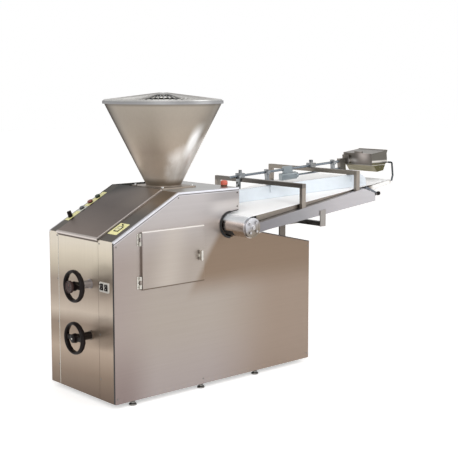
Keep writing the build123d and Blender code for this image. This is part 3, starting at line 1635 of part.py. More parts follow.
def duster_lid():
    u, w = lid_axis()
    half = duster_width / 2
    reach = half - lid_ear - end_gap
    over = lid_overhang
    lid = block(-over, duster_length - over / 2, -half - over, half + over, lid_gap,
                lid_gap + lid_thickness)
    lid = fillet(lid.edges().filter_by(Axis.Z), lid_corner)
    arm = block(duster_length - 2 * over, u, -reach, reach, lid_gap, lid_gap + lid_thickness)
    grip_middle = lid_gap + lid_thickness + lid_grip_height / 2
    grip = Pos(lid_grip_inset, 0, grip_middle) * Box(lid_grip_width, lid_grip_length, lid_grip_height)
    sleeve = on_y(u, w, -reach, reach, lid_hinge_radius)
    bore = on_y(u, w, -reach - past, reach + past, lid_pin_radius + running_gap)
    return duster_plane * (fuse([lid, arm, grip, sleeve]) - bore)


def duster_roller():
    """Fluted flour roller across the trough."""
    half = duster_width / 2
    reach = half - 2 * duster_wall - end_gap
    body = on_y(brush_u, brush_w, -reach, reach, brush_radius)
    for index in range(brush_teeth):
        angle = 2 * math.pi * index / brush_teeth
        u, w = brush_u + brush_radius * math.cos(angle), brush_w + brush_radius * math.sin(angle)
        body -= on_y(u, w, -reach - past, reach + past, brush_radius / 10)
    return duster_plane * (body + on_y(brush_u, brush_w, -half, half, brush_core))


nodes = {
    "base_frame": base_frame, "near_side_panel": near_side_panel, "far_side_panel": far_side_panel,
    "front_panel": front_panel, "front_strips": front_strips, "slope_cover": slope_cover,
    "slope_strips": slope_strips, "top_deck": top_deck, "rear_cover": rear_cover,
    "levelling_feet": levelling_feet, "panel_screws": panel_screws, "notch_trim": notch_trim,
    "hopper": hopper, "hopper_guard": hopper_guard, "hex_bolts": hex_bolts, "door": door,
    "door_hinges": door_hinges, "door_latch": door_latch, "control_frames": control_frames,
    "mains_switch": mains_switch, "belt_switch": belt_switch, "jog_button": jog_button,
    "stop_button": stop_button, "start_button": start_button, "counter_button": counter_button,
    "speed_knob": speed_knob, "estop_base": estop_base, "estop_button": estop_button,
    "weight_wheel": weight_wheel, "weight_screw": weight_screw, "weight_nut": weight_nut,
    "pressure_wheel": pressure_wheel, "pressure_screw": pressure_screw, "pressure_nut": pressure_nut,
    "wheel_bushes": wheel_bushes, "dough_chamber": dough_chamber, "main_piston": main_piston,
    "knife": knife, "measuring_drum": measuring_drum, "measuring_piston": measuring_piston,
    "gearmotor": gearmotor, "crank_shaft": crank_shaft, "near_rail": near_rail, "far_rail": far_rail,
    "slider_bed": slider_bed, "belt": belt, "tail_drum": tail_drum, "nose_roller": nose_roller,
    "tail_guard": tail_guard, "conveyor_brackets": conveyor_brackets, "cross_bar": cross_bar_tube,
    "gantries": gantries, "guide_plate": guide_plate, "boom_rods": boom_rods, "boom_clamps": boom_clamps,
    "duster_motor": duster_motor, "duster_shaft": duster_shaft, "duster_box": duster_box,
    "duster_lid": duster_lid, "duster_roller": duster_roller,
}

shapes = {name: make() for name, make in nodes.items()}
whole = Compound([solid for shape in shapes.values() for solid in shape.solids()]).bounding_box()
origin = Vector((whole.min.X + whole.max.X) / 2, (whole.min.Y + whole.max.Y) / 2, 0)

os.makedirs("parts", exist_ok=True)
for name, shape in shapes.items():
    export_step(Pos(-origin) * shape, f"parts/{name}.step")
print("size", whole.size, "origin", origin)
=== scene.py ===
import bpy
import bmesh
from functools import partialmethod
from math import atan2, cos, pi, radians, sin, tan
from mathutils import Matrix, Vector


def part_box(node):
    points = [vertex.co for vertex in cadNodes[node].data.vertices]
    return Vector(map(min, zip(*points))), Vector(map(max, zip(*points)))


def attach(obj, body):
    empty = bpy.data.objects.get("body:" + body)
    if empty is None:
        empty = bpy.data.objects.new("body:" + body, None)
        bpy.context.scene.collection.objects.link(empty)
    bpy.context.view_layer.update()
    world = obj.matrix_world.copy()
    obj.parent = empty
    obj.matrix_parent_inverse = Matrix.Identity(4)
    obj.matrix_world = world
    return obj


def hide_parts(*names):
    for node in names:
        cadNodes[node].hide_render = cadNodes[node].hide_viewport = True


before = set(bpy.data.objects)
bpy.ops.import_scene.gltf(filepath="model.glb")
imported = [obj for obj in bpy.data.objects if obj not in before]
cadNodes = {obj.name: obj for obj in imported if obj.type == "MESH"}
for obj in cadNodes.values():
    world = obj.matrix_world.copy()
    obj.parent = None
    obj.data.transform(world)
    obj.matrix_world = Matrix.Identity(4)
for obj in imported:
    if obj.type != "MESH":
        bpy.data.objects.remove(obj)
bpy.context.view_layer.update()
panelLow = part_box("near_side_panel")[0]
scene = bpy.context.scene
print("frame loaded:", len(cadNodes), "nodes")

# main places in millimetres: x from the cabinet's front face, y from its middle, z from the floor
cabinet = {"half": 320, "front": 917, "deck": 1150, "slopeRun": 440, "rear": (893, 914), "rearRun": 590,
           "rearDrop": 139}
hopper = {"x": 585, "neck": 103, "plateTop": 1158}
conveyor = {"x": 823, "z": 937, "rise": 6.5}


def spot(x, y, z):
    return Vector((panelLow.x + x / 1000, panelLow.y + (y + cabinet["half"]) / 1000, z / 1000))


def shift(x, y, z):
    return Matrix.Translation((x / 1000, y / 1000, z / 1000))


# a matrix that sets a shape at a point, its own z along a direction and its x along another
def setAt(point, up, along):
    up, along = Vector(up).normalized(), Vector(along)
    along = (along - up * along.dot(up)).normalized()
    turn = Matrix((along, up.cross(along), up)).transposed().to_4x4()
    return Matrix.Translation(spot(*point)) @ turn


# the way along a face that rises towards the rear, and the way up from it
def rising(angle):
    return Vector((cos(angle), 0, sin(angle))), Vector((-sin(angle), 0, cos(angle)))


slopeAngle = atan2(cabinet["deck"] - cabinet["front"], cabinet["slopeRun"])
rearAngle = atan2(cabinet["rearDrop"], cabinet["rearRun"])
beltAngle = radians(conveyor["rise"])
slopeAlong, slopeUp = rising(slopeAngle)
beltAlong, beltUp = rising(beltAngle)


def onSlope(x, y, lift=0):
    point = Vector((x, y, cabinet["front"] + x * tan(slopeAngle))) + slopeUp * lift
    return setAt(point, slopeUp, slopeAlong)


# a point along the conveyor from its drum and up from there
def onBelt(along, y, up):
    return Vector((conveyor["x"], y, conveyor["z"])) + beltAlong * along + beltUp * up


def addObject(name, data):
    made = bpy.data.objects.new(name, data)
    scene.collection.objects.link(made)
    return made


shot = {"place": (-3087.1, -4730.0, 1745.1), "yaw": 48.503, "pitch": 6.385, "focal": 1022.9, "frame": 458,
        "drop": -30, "sensor": 36, "clipEnd": 100}


def setCamera():
    yaw, pitch = radians(shot["yaw"]), radians(shot["pitch"])
    lens = bpy.data.cameras.new("shot")
    lens.sensor_fit = "HORIZONTAL"
    lens.sensor_width = shot["sensor"]
    lens.lens = shot["focal"] / shot["frame"] * shot["sensor"]
    lens.shift_y = shot["drop"] / shot["frame"]
    lens.clip_end = shot["clipEnd"]
    camera = addObject("shot", lens)
    ahead = Vector((cos(yaw) * cos(pitch), sin(yaw) * cos(pitch), -sin(pitch)))
    camera.location = spot(*shot["place"])
    camera.rotation_euler = ahead.to_track_quat("-Z", "Y").to_euler()
    scene.camera = camera


setCamera()
print("camera set")


# colours are written as they look on screen, 0 to 255
def paint(colour):
    shares = [c / 255 for c in colour]
    return [c / 12.92 if c < 0.04045 else ((c + 0.055) / 1.055) ** 2.4 for c in shares]


def tinted(colour):
    return colour if isinstance(colour, Tone) else (*paint(colour), 1)


class Nodes:
    def node(self, kind, settings=None, sockets=None, output=0):
        made = self.tree.nodes.new("ShaderNode" + kind)
        for key, value in (settings or {}).items():
            if key == "stops":
                while len(made.color_ramp.elements) < len(value):
                    made.color_ramp.elements.new(0.5)
                for element, (position, colour) in zip(made.color_ramp.elements, value):
                    element.position = position
                    element.color = (*colour, 1)
            else:
                setattr(made, key, value)
        for key, value in (sockets or {}).items():
            if isinstance(value, Tone):
                self.tree.links.new(value.socket, made.inputs[key])
            else:
                made.inputs[key].default_value = value
        return Tone(self.tree, made.outputs[output])

    def mix(self, factor, first, second, kind="MIX"):
        sockets = {0: factor, 6: first, 7: second}
        return self.node("Mix", {"data_type": "RGBA", "blend_type": kind}, sockets, 2)


# a shader value that adds, multiplies and so on as a Python number does
class Tone(Nodes):
    def __init__(self, tree, socket):
        self.tree, self.socket = tree, socket

    def math(self, operation, other=0, flip=False):
        first, second = (other, self) if flip else (self, other)
        return self.node("Math", {"operation": operation}, {0: first, 1: second})

    __add__ = partialmethod(math, "ADD")
    __radd__ = partialmethod(math, "ADD", flip=True)
    __sub__ = partialmethod(math, "SUBTRACT")
    __rsub__ = partialmethod(math, "SUBTRACT", flip=True)
    __mul__ = partialmethod(math, "MULTIPLY")
    __rmul__ = partialmethod(math, "MULTIPLY", flip=True)
    __truediv__ = partialmethod(math, "DIVIDE")

    def ease(self, low, high, start=0.0, end=1.0):
        return self.node("MapRange", {"interpolation_type": "SMOOTHSTEP"}, {
            "Value": self, "From Min": low, "From Max": high, "To Min": start, "To Max": end})

    # 1 at the middle, 0 past the reach on both sides
    def hump(self, middle, reach):
        return (self - middle).math("ABSOLUTE").ease(reach, 0)

    def ramp(self, bands):
        stops = [(position, paint(colour)) for position, colour in bands]
        return self.node("ValToRGB", {"stops": stops}, {0: self})

    # the first colour where this value is 0, the second where it is 1
    def blend(self, first, second):
        return self.mix(self, tinted(first), tinted(second))


# colours laid over a base in turn, each by the share that has its name
def layered(base, hues, **shares):
    for name, share in shares.items():
        base = share.blend(base, hues[name])
    return base


class Shading(Nodes):
    def __init__(self, tree):
        self.tree = tree
        self.place = self.node("TexCoord", output="Object")

    def split(self, vector, ways):
        return [self.node("SeparateXYZ", None, {0: vector}, way) for way in ways]

    # metres from the cabinet's front face, its middle and the floor
    def axes(self, ways="XYZ"):
        start = {"X": panelLow.x, "Y": panelLow.y + cabinet["half"] / 1000, "Z": 0}
        return [value - start[way] for value, way in zip(self.split(self.place, ways), ways)]

    def facing(self, ways):
        return self.split(self.node("TexCoord", output="Normal"), ways)

    def noise(self, scale, stretch=(1, 1, 1), detail=3, rough=0.55):
        mapped = self.node("Mapping", None, {0: self.place, "Scale": [scale * s for s in stretch]})
        sockets = {"Vector": mapped, "Scale": 1, "Detail": detail, "Roughness": rough}
        return self.node("TexNoise", None, sockets)


class Finish(Shading):
    def __init__(self, name, **fixed):
        self.material = bpy.data.materials.new(name)
        self.material.use_nodes = True
        super().__init__(self.material.node_tree)
        self.shader = self.tree.nodes["Principled BSDF"]
        for socket, value in fixed.items():
            self.shader.inputs[socket.replace("_", " ")].default_value = value

    def feed(self, **sockets):
        for socket, value in sockets.items():
            self.tree.links.new(value.socket, self.shader.inputs[socket.replace("_", " ")])

    # a base colour made darker or paler by a value near 1
    def tint(self, colour, value):
        grey = self.node("CombineColor", None, {0: value, 1: value, 2: value})
        self.feed(Base_Color=self.mix(1.0, tinted(colour), grey, "MULTIPLY"))

    # takes the shine off where the share is 1
    def matt(self, share, metal=1):
        self.shader.inputs["Specular IOR Level"].default_value = 0
        self.feed(Metallic=metal * (1 - share))

    def relief(self, height, strength, depth, edge=None):
        sockets = {"Height": height, "Strength": strength, "Distance": depth}
        if edge:
            sockets["Normal"] = self.node("Bevel", {"samples": 4}, {"Radius": edge})
        self.feed(Normal=self.node("Bump", None, sockets))


grainStretch = {"x": (0.012, 1, 1), "y": (1, 0.012, 1), "z": (1, 1, 0.012), "round": (0.02, 0.02, 1)}


# brushed stainless: fine scratches along one way, broader streaks and soft handling marks
def brushed(name, grain, tone, rough=0.34, contrast=0.09, edge=0.0012, metal=1.0):
    finish = Finish(name, Metallic=metal)
    fine = finish.noise(900, grainStretch[grain], 2)
    broad = finish.noise(90, grainStretch[grain])
    marks = finish.noise(3.2, detail=4, rough=0.6)
    base = tone(finish) if callable(tone) else marks.ease(0.3, 0.7).blend(*tone)
    finish.tint(base, (fine * 0.55 + broad * 0.45 - 0.5) * (contrast * 2) + 1)
    finish.feed(Roughness=rough + (fine - 0.5) * 0.16 + (marks - 0.5) * 0.1)
    finish.relief(fine + broad * 0.6, 0.1, 0.0004, edge)
    return finish.material


# moulded plastics and paints: fine pebble, faint mottling
def moulded(name, tone, rough=0.4, grain=700, relief=0.25, mottle=0.18, coat=0.0, shine=0.5):
    finish = Finish(name, Coat_Weight=coat, Coat_Roughness=0.12, Specular_IOR_Level=shine)
    pebble = finish.noise(grain, detail=2)
    cloud = finish.noise(14, detail=4, rough=0.6)
    base = tone(finish) if callable(tone) else tone
    finish.tint(base, cloud.ease(0.25, 0.75, 1 - mottle, 1 + mottle))
    finish.feed(Roughness=rough + (pebble - 0.5) * 0.15 + (cloud - 0.5) * 0.12)
    finish.relief(pebble, relief, 0.0003)
    return finish.material


# coated belt: fine weave under the coat, faint flour and use marks
def woven(name, colour, dull=0.96):
    finish = Finish(name)
    across = finish.noise(420, (1, 0.06, 1), 2)
    along = finish.noise(420, (0.06, 1, 1), 2)
    flour = finish.noise(6, (0.5, 1, 1), 5, 0.65)
    pale = paint(colour)
    worn = [c * dull for c in pale]
    finish.feed(Base_Color=finish.mix(flour.ease(0.35, 0.75), (*worn, 1), (*pale, 1)))
    finish.feed(Roughness=0.55 + (flour - 0.5) * 0.2)
    finish.relief(across * along, 0.2, 0.0003)
    return finish.material


# tones say where colours lie, in metres on the machine, radians round the hopper or parts of a facing
def belowSlope(x, z):
    return (cabinet["front"] / 1000 + x * tan(slopeAngle) - z) * cos(slopeAngle)


frontHues = {"lip": (84, 74, 67), "bands": [
    (0.03, (104, 87, 74)), (0.16, (131, 113, 97)), (0.3, (170, 152, 135)), (0.385, (143, 126, 110)),
    (0.44, (140, 123, 108)), (0.51, (191, 177, 162)), (0.6, (162, 147, 133)), (0.69, (154, 140, 126)),
    (0.77, (190, 179, 161)), (0.85, (211, 201, 183)), (0.905, (217, 208, 193))]}


# front sheets: painted reflections, pale under the slope, browner towards the floor, in soft bands that drop
# towards the far side; a painted shadow line just under the cover
def frontTone(finish):
    y, z = finish.axes("YZ")
    wave = finish.noise(1.6, detail=2) - 0.5
    base = (z + (y + 0.24) * 0.09 + wave * 0.04).ramp(frontHues["bands"])
    # the dark line under the cover's lip is a painted shadow
    lip = z.ease(0.896, 0.9) * y.ease(-0.174, -0.172) * y.ease(0.228, 0.226)
    return layered(base, frontHues, lip=lip)


sideHues = {"front": (152, 141, 136), "middle": (157, 148, 140), "top": (175, 170, 170),
            "foot": (132, 119, 116), "sill": (155, 146, 143), "rear": (141, 125, 112),
            "cast": (129, 112, 97), "dusk": (150, 147, 147), "glow": (206, 202, 200), "crease": (70, 66, 70),
            "rearCrease": (70, 66, 70), "rim": (206, 207, 213), "shade": (66, 66, 63)}


# side sheets: lilac grey with painted reflections, a painted conveyor shadow browner behind a slanting soft
# line from the drum to the door, a painted highlight on the bright rim
def sideTone(finish):
    x, y, z = finish.axes()
    wave = finish.noise(1.3, detail=2) - 0.5
    base = x.ease(0.0, 0.32).blend(sideHues["front"], sideHues["middle"])
    sill = x.ease(0.05, 0.3).blend(sideHues["foot"], sideHues["sill"])
    # the slanting line bounds the conveyor's painted shadow
    slant = (x - z * 0.69 + wave * 0.05).ease(0.085, 0.15)
    below = belowSlope(x, z).math("MINIMUM", cabinet["deck"] / 1000 - z)
    start, top = cabinet["rear"]
    behind = (top / 1000 - (x - start / 1000) * tan(rearAngle) - z) * cos(rearAngle)
    # painted shade on the far sheet's inner face near the deck
    inner = y.ease(0.2, 0.21) * y.ease(0.3195, 0.3185) * z.ease(1.1, 1.11) * x.ease(0.8, 0.7)
    finish.matt(inner)
    # painted reflections, paler at the top, darker at the front foot and browner to the rear; the conveyor's
    # painted shadow
    return layered(base, {**sideHues, "sill": sill}, top=z.ease(0.75, 1.1), sill=z.ease(0.45, 0.05),
                   rear=(x + wave * 0.2).ease(0.6, 1.25) * 0.9,
                   cast=slant * (z + wave * 0.1).ease(0.5, 0.68) * z.ease(1.0, 0.93),
                   # painted shade along the sheet's top towards the drum, a painted reflection of the belt
                   # left of and above the drum
                   dusk=x.ease(0.6, 0.78) * z.ease(1.065, 1.095) * 0.8,
                   glow=x.ease(0.63, 0.74) * (z + wave * 0.06).hump(1.035, 0.055) * 0.55,
                   # painted shade lines under the slope's and the rear's edges, a painted highlight on the
                   # rolled rim
                   crease=below.hump(0.0145, 0.0035),
                   rearCrease=behind.ease(0.007, 0.0045) * x.ease(0.9, 0.905),
                   rim=below.ease(0.0122, 0.0112) + below.hump(0.0192, 0.0028) * 0.7, shade=inner)


doorHues = {"band": (186, 177, 169), "foot": (96, 84, 74), "top": (222, 218, 214)}


# the door: over the side sheets' tones, a painted reflection as a lighter upright band across its middle, a
# painted highlight along its top edge and painted shade at its foot
def doorTone(finish):
    x, z = finish.axes("XZ")
    return layered(sideTone(finish), doorHues, band=(x - (z - 0.78) * 0.15).hump(0.37, 0.16) * 0.5,
                   foot=z.ease(0.644, 0.638), top=z.ease(0.947, 0.951))


coneHues = {"edge": (88, 84, 79), "pool": (246, 241, 236), "streak": (255, 254, 252), "rim": (150, 150, 151),
            "plate": (150, 140, 130), "inside": (240, 238, 233), "bands": [
    (0.0, (150, 139, 126)), (0.05, (160, 149, 135)), (0.105, (214, 202, 188)), (0.16, (208, 194, 178)),
    (0.25, (200, 185, 169)), (0.42, (172, 158, 144)), (0.6, (162, 151, 138)), (0.8, (156, 147, 136)),
    (0.96, (158, 150, 139)), (0.985, (132, 125, 116))]}


# the cone: taupe in bands of painted reflection, painted shade towards its sides, on the near side a bright
# painted reflection of the floor and a slanting painted highlight, pale inside
def hopperTone(finish):
    x, y, z = finish.axes()
    out = x - hopper["x"] / 1000
    outX, outY = finish.facing("XY")
    inside = (outX * out + outY * y).ease(-0.01, -0.03)
    wave = finish.noise(2.6, (1, 1, 0.6)) - 0.5
    patch = finish.noise(34, (1, 1, 0.16)) - 0.5
    turn = y.math("ARCTAN2", out) + wave * 0.2
    # painted shade towards the cone's sides
    edge = turn.hump(-0.75, 0.42) * z.ease(1.46, 1.58)
    edge = edge + turn.ease(3.14, 2.6) * turn.ease(1.9, 2.3) * z.ease(1.18, 1.24)
    # a painted reflection of the lit floor, a bright patch low on the near side
    pool = (turn + patch * 0.3).ease(-2.3, -1.9) * turn.ease(-0.4, -0.8)
    pool = pool * (z - (turn + 2) * 0.08 + patch * 0.06).ease(1.4, 1.31) * z.ease(1.17, 1.21)
    # a slanting painted highlight on the near side
    streak = (turn - (z - 1.39) * 0.7).hump(-1.45, 0.27) * z.hump(1.42, 0.125)
    finish.matt(edge, 0.85 - inside * 0.65)
    return layered(((z - 1.16) / 0.48).ramp(coneHues["bands"]), coneHues, edge=edge,
                   pool=pool * (0.72 + patch * 0.9), streak=(streak * 1.4).math("MINIMUM", 1.0),
                   rim=z.ease(1.635, 1.637), plate=z.ease(1.163, 1.161), inside=inside)


wireHues = {"band": (186, 186, 184), "worn": (24, 24, 23), "bands": [
    (0.02, (190, 189, 187)), (0.1, (200, 199, 197)), (0.2, (212, 211, 209)), (0.32, (222, 221, 219))]}


# guard wires: pale, with painted shade that darkens them in a sector on the near side
def wireTone(finish):
    x, y = finish.axes("XY")
    out = x - hopper["x"] / 1000
    reach = (out * out + y * y).math("SQRT")
    mottle = finish.noise(40, detail=2) - 0.5
    # painted shade darkens the wires in the sector facing the near side
    towards = (out * -0.61 - y * 0.79) / reach
    return layered((reach + mottle * 0.02).ramp(wireHues["bands"]), wireHues, band=reach.ease(0.334, 0.337),
                   worn=towards.ease(0.86, 0.97) * reach.ease(0.05, 0.11) * reach.ease(0.335, 0.3))


coverHues = {"far": (50, 48, 44), "near": (138, 127, 118), "edge": (202, 194, 190), "wall": (100, 88, 80),
             "bands": [(0.0, (136, 123, 116)), (0.12, (118, 107, 101)), (0.25, (98, 88, 84)),
                       (0.42, (116, 108, 103))]}


# the slope's cover: darker steel by painted reflection, paler low down, a dark painted reflection at its
# upper far corner, a painted highlight on the near edge and front lip, painted shade on the lip's face
def coverTone(finish):
    x, y, z = finish.axes()
    wave = finish.noise(2.2) - 0.5
    # painted reflections, lighter on the near side and dark at the upper far corner; painted highlights on
    # the edges
    return layered((x + wave * 0.1).ramp(coverHues["bands"]), coverHues, far=(x + y * 0.5).ease(0.4, 0.52),
                   near=y.ease(0.1, -0.12) * x.ease(0.15, 0.4),
                   edge=x.ease(0.0, -0.003).math("MAXIMUM", y.ease(-0.1665, -0.1685)),
                   wall=belowSlope(x, z).ease(0.002, 0.005))


stripBands = {
    "near": [(0.05, (98, 93, 87)), (0.22, (102, 97, 91)), (0.34, (146, 132, 117)), (0.43, (116, 106, 95))],
    "far": [(0.05, (98, 93, 87)), (0.22, (96, 91, 84)), (0.36, (78, 74, 66))]}


# the strips beside it, in painted reflections: the near one browner and paler towards the deck, the far one
# darker
def stripTone(finish):
    x, y = finish.axes("XY")
    wave = finish.noise(3) - 0.5
    return y.ease(0.0, 0.1).blend((x + wave * 0.12).ramp(stripBands["near"]), x.ramp(stripBands["far"]))


deckHues = {"dull": (150, 149, 147), "pale": (170, 169, 167), "shade": (66, 66, 63)}


# the deck: mottled grey, in the hopper's shade on the far side
def deckTone(finish):
    x, y = finish.axes("XY")
    marks = finish.noise(3.2, detail=4, rough=0.6)
    shade = y.ease(0.05, 0.15) * x.ease(0.8, 0.7)
    finish.matt(shade)
    return layered(deckHues["dull"], deckHues, pale=marks.ease(0.3, 0.7), shade=shade)


capBands = [(0.1, (126, 116, 103)), (0.4, (144, 138, 133)), (0.62, (172, 171, 175)), (0.9, (202, 203, 208))]
railBands = [(0.42, (124, 122, 126)), (0.6, (144, 143, 146)), (0.75, (178, 175, 178)),
             (0.95, (188, 186, 189))]


# the drum's end: painted shading, pale above, browner below
def capTone(finish):
    x, z = finish.axes("XZ")
    wave = finish.noise(14) - 0.5
    return ((z - (x - conveyor["x"] / 1000) * 0.5 - 0.877 + wave * 0.03) * 8).ramp(capBands)


# conveyor rails: lilac grey, darker near the drum, with the drum end's painted shading round the drum
def railTone(finish):
    x, z = finish.axes("XZ")
    wave = finish.noise(4, (0.4, 1, 1)) - 0.5
    along, above = x - conveyor["x"] / 1000, z - conveyor["z"] / 1000
    reach = (along * along + above * above).math("SQRT")
    return reach.ease(0.06, 0.058).blend(((x + wave * 0.3) * 0.5).ramp(railBands), capTone(finish))


drumHues = {"dull": (186, 176, 168), "pale": (218, 210, 203), "top": (222, 226, 230)}


# drum cover: a pale top that is a painted highlight, steel below
def drumTone(finish):
    x, z = finish.axes("XZ")
    smear = finish.noise(26, (1, 0.1, 1))
    # the pale top is a painted highlight, made less metallic
    top = (z + (smear - 0.5) * 0.012).ease(0.958, 0.976) * x.ease(0.95, 0.93)
    finish.feed(Metallic=1 - top * 0.75)
    return layered(drumHues["dull"], drumHues, pale=smear, top=top)


gantryHues = {"post": (146, 138, 130), "first": (112, 107, 102), "second": (140, 133, 124)}


# gantries: the beams darker than the posts
def gantryTone(finish):
    x, z = finish.axes("XZ")
    wave = finish.noise(9) - 0.5
    beam = (z - (x - 1.246) * 0.104 + wave * 0.01).ease(1.13, 1.137)
    return beam.blend(gantryHues["post"], x.ease(1.5, 1.6).blend(gantryHues["first"], gantryHues["second"]))


bracketHues = {"dull": (138, 134, 130), "pale": (160, 156, 152), "leg": (104, 98, 92)}
rodHues = {"dull": (112, 120, 128), "pale": (142, 149, 156), "arm": (74, 78, 82)}


# legs under the rails are darker than the cross bar's brackets
def bracketTone(finish):
    x, = finish.axes("X")
    return layered(bracketHues["dull"], bracketHues, pale=finish.noise(8, (1, 1, 0.4)), leg=x.ease(1.3, 1.29))


# rods: the bent arm behind the duster is darker
def rodTone(finish):
    x, = finish.axes("X")
    return layered(rodHues["dull"], rodHues, pale=finish.noise(12), arm=x.ease(2.04, 2.05))


dusterHues = {"dull": (112, 107, 101), "pale": (146, 140, 133), "near": (86, 84, 78),
              "shine": (194, 185, 180), "foot": (252, 248, 244), "stain": (92, 88, 62),
              "stainEnd": (176, 169, 146), "lip": (206, 202, 196)}


# the duster: grey above with a painted highlight as a soft shine on its end, a painted highlight as a bright
# flange line, its trough stained yellow brown
def dusterTone(finish):
    x, y, z = finish.axes()
    outX, outY = finish.facing("XY")
    wave = finish.noise(16, detail=4)
    # painted shade darkens the near face
    near = outY.ease(-0.6, -0.85)
    end = x.ease(1.97, 1.96)
    trough = x.ease(1.949, 1.953)
    # a painted highlight as a soft shine on the end face
    shine = y.hump(-0.34, 0.08) * z.ease(1.215, 1.235) * end
    # a painted highlight as a bright spot low on the end face
    foot = y.hump(-0.255, 0.055) * z.hump(1.247, 0.026) * end
    finish.matt(shine.math("MAXIMUM", foot))
    # the stain is paler on the end face as painted light
    stain = outX.ease(-0.3, -0.6).blend(dusterHues["stain"], dusterHues["stainEnd"])
    stained = (z + (wave - 0.5) * 0.006 - near * 0.014).ease(1.2255, 1.2225)
    # a painted highlight along the flange line
    lip = z.hump(1.2265, 0.003) + z.hump(1.249, 0.011) * near
    return layered(dusterHues["dull"], {**dusterHues, "stain": stain}, pale=wave, near=near * 0.8,
                   shine=shine, foot=foot, stain=stained * trough, lip=lip * trough)


boltHues = {"dull": (128, 126, 123), "plate": (226, 226, 226), "behind": (66, 62, 58),
            "drum": (176, 174, 175)}


# bolts: the hopper plate's are bright, those behind the drum dark with painted shade, the rest duller
def boltTone(finish):
    x, y, z = finish.axes()
    return layered(boltHues["dull"], boltHues, plate=z.ease(1.126, 1.129) * x.ease(0.75, 0.74),
                   behind=x.ease(0.86, 0.87) * x.ease(0.9, 0.89),
                   drum=y.ease(-0.505, -0.508) * x.ease(0.95, 0.94))


# the upper bush is bright turned steel, the lower one is blackened
def bushTone(finish):
    x, z = finish.axes("XZ")
    lower = x.ease(-0.007, -0.005).blend((34, 28, 26), (120, 108, 97))
    return z.ease(0.54, 0.5).blend((156, 151, 151), lower)


# the guide: bluish white sheet with a grey cut edge along its top
def guideTone(finish):
    outZ, = finish.facing("Z")
    return outZ.ease(0.7, 0.9).blend((224, 232, 239), (112, 118, 124))


# a tone of two colours that meet at a bound across one axis
def parted(way, low, high, first, second):
    return lambda finish: finish.axes(way)[0].ease(low, high).blend(first, second)


foodWhite = (232, 230, 224)
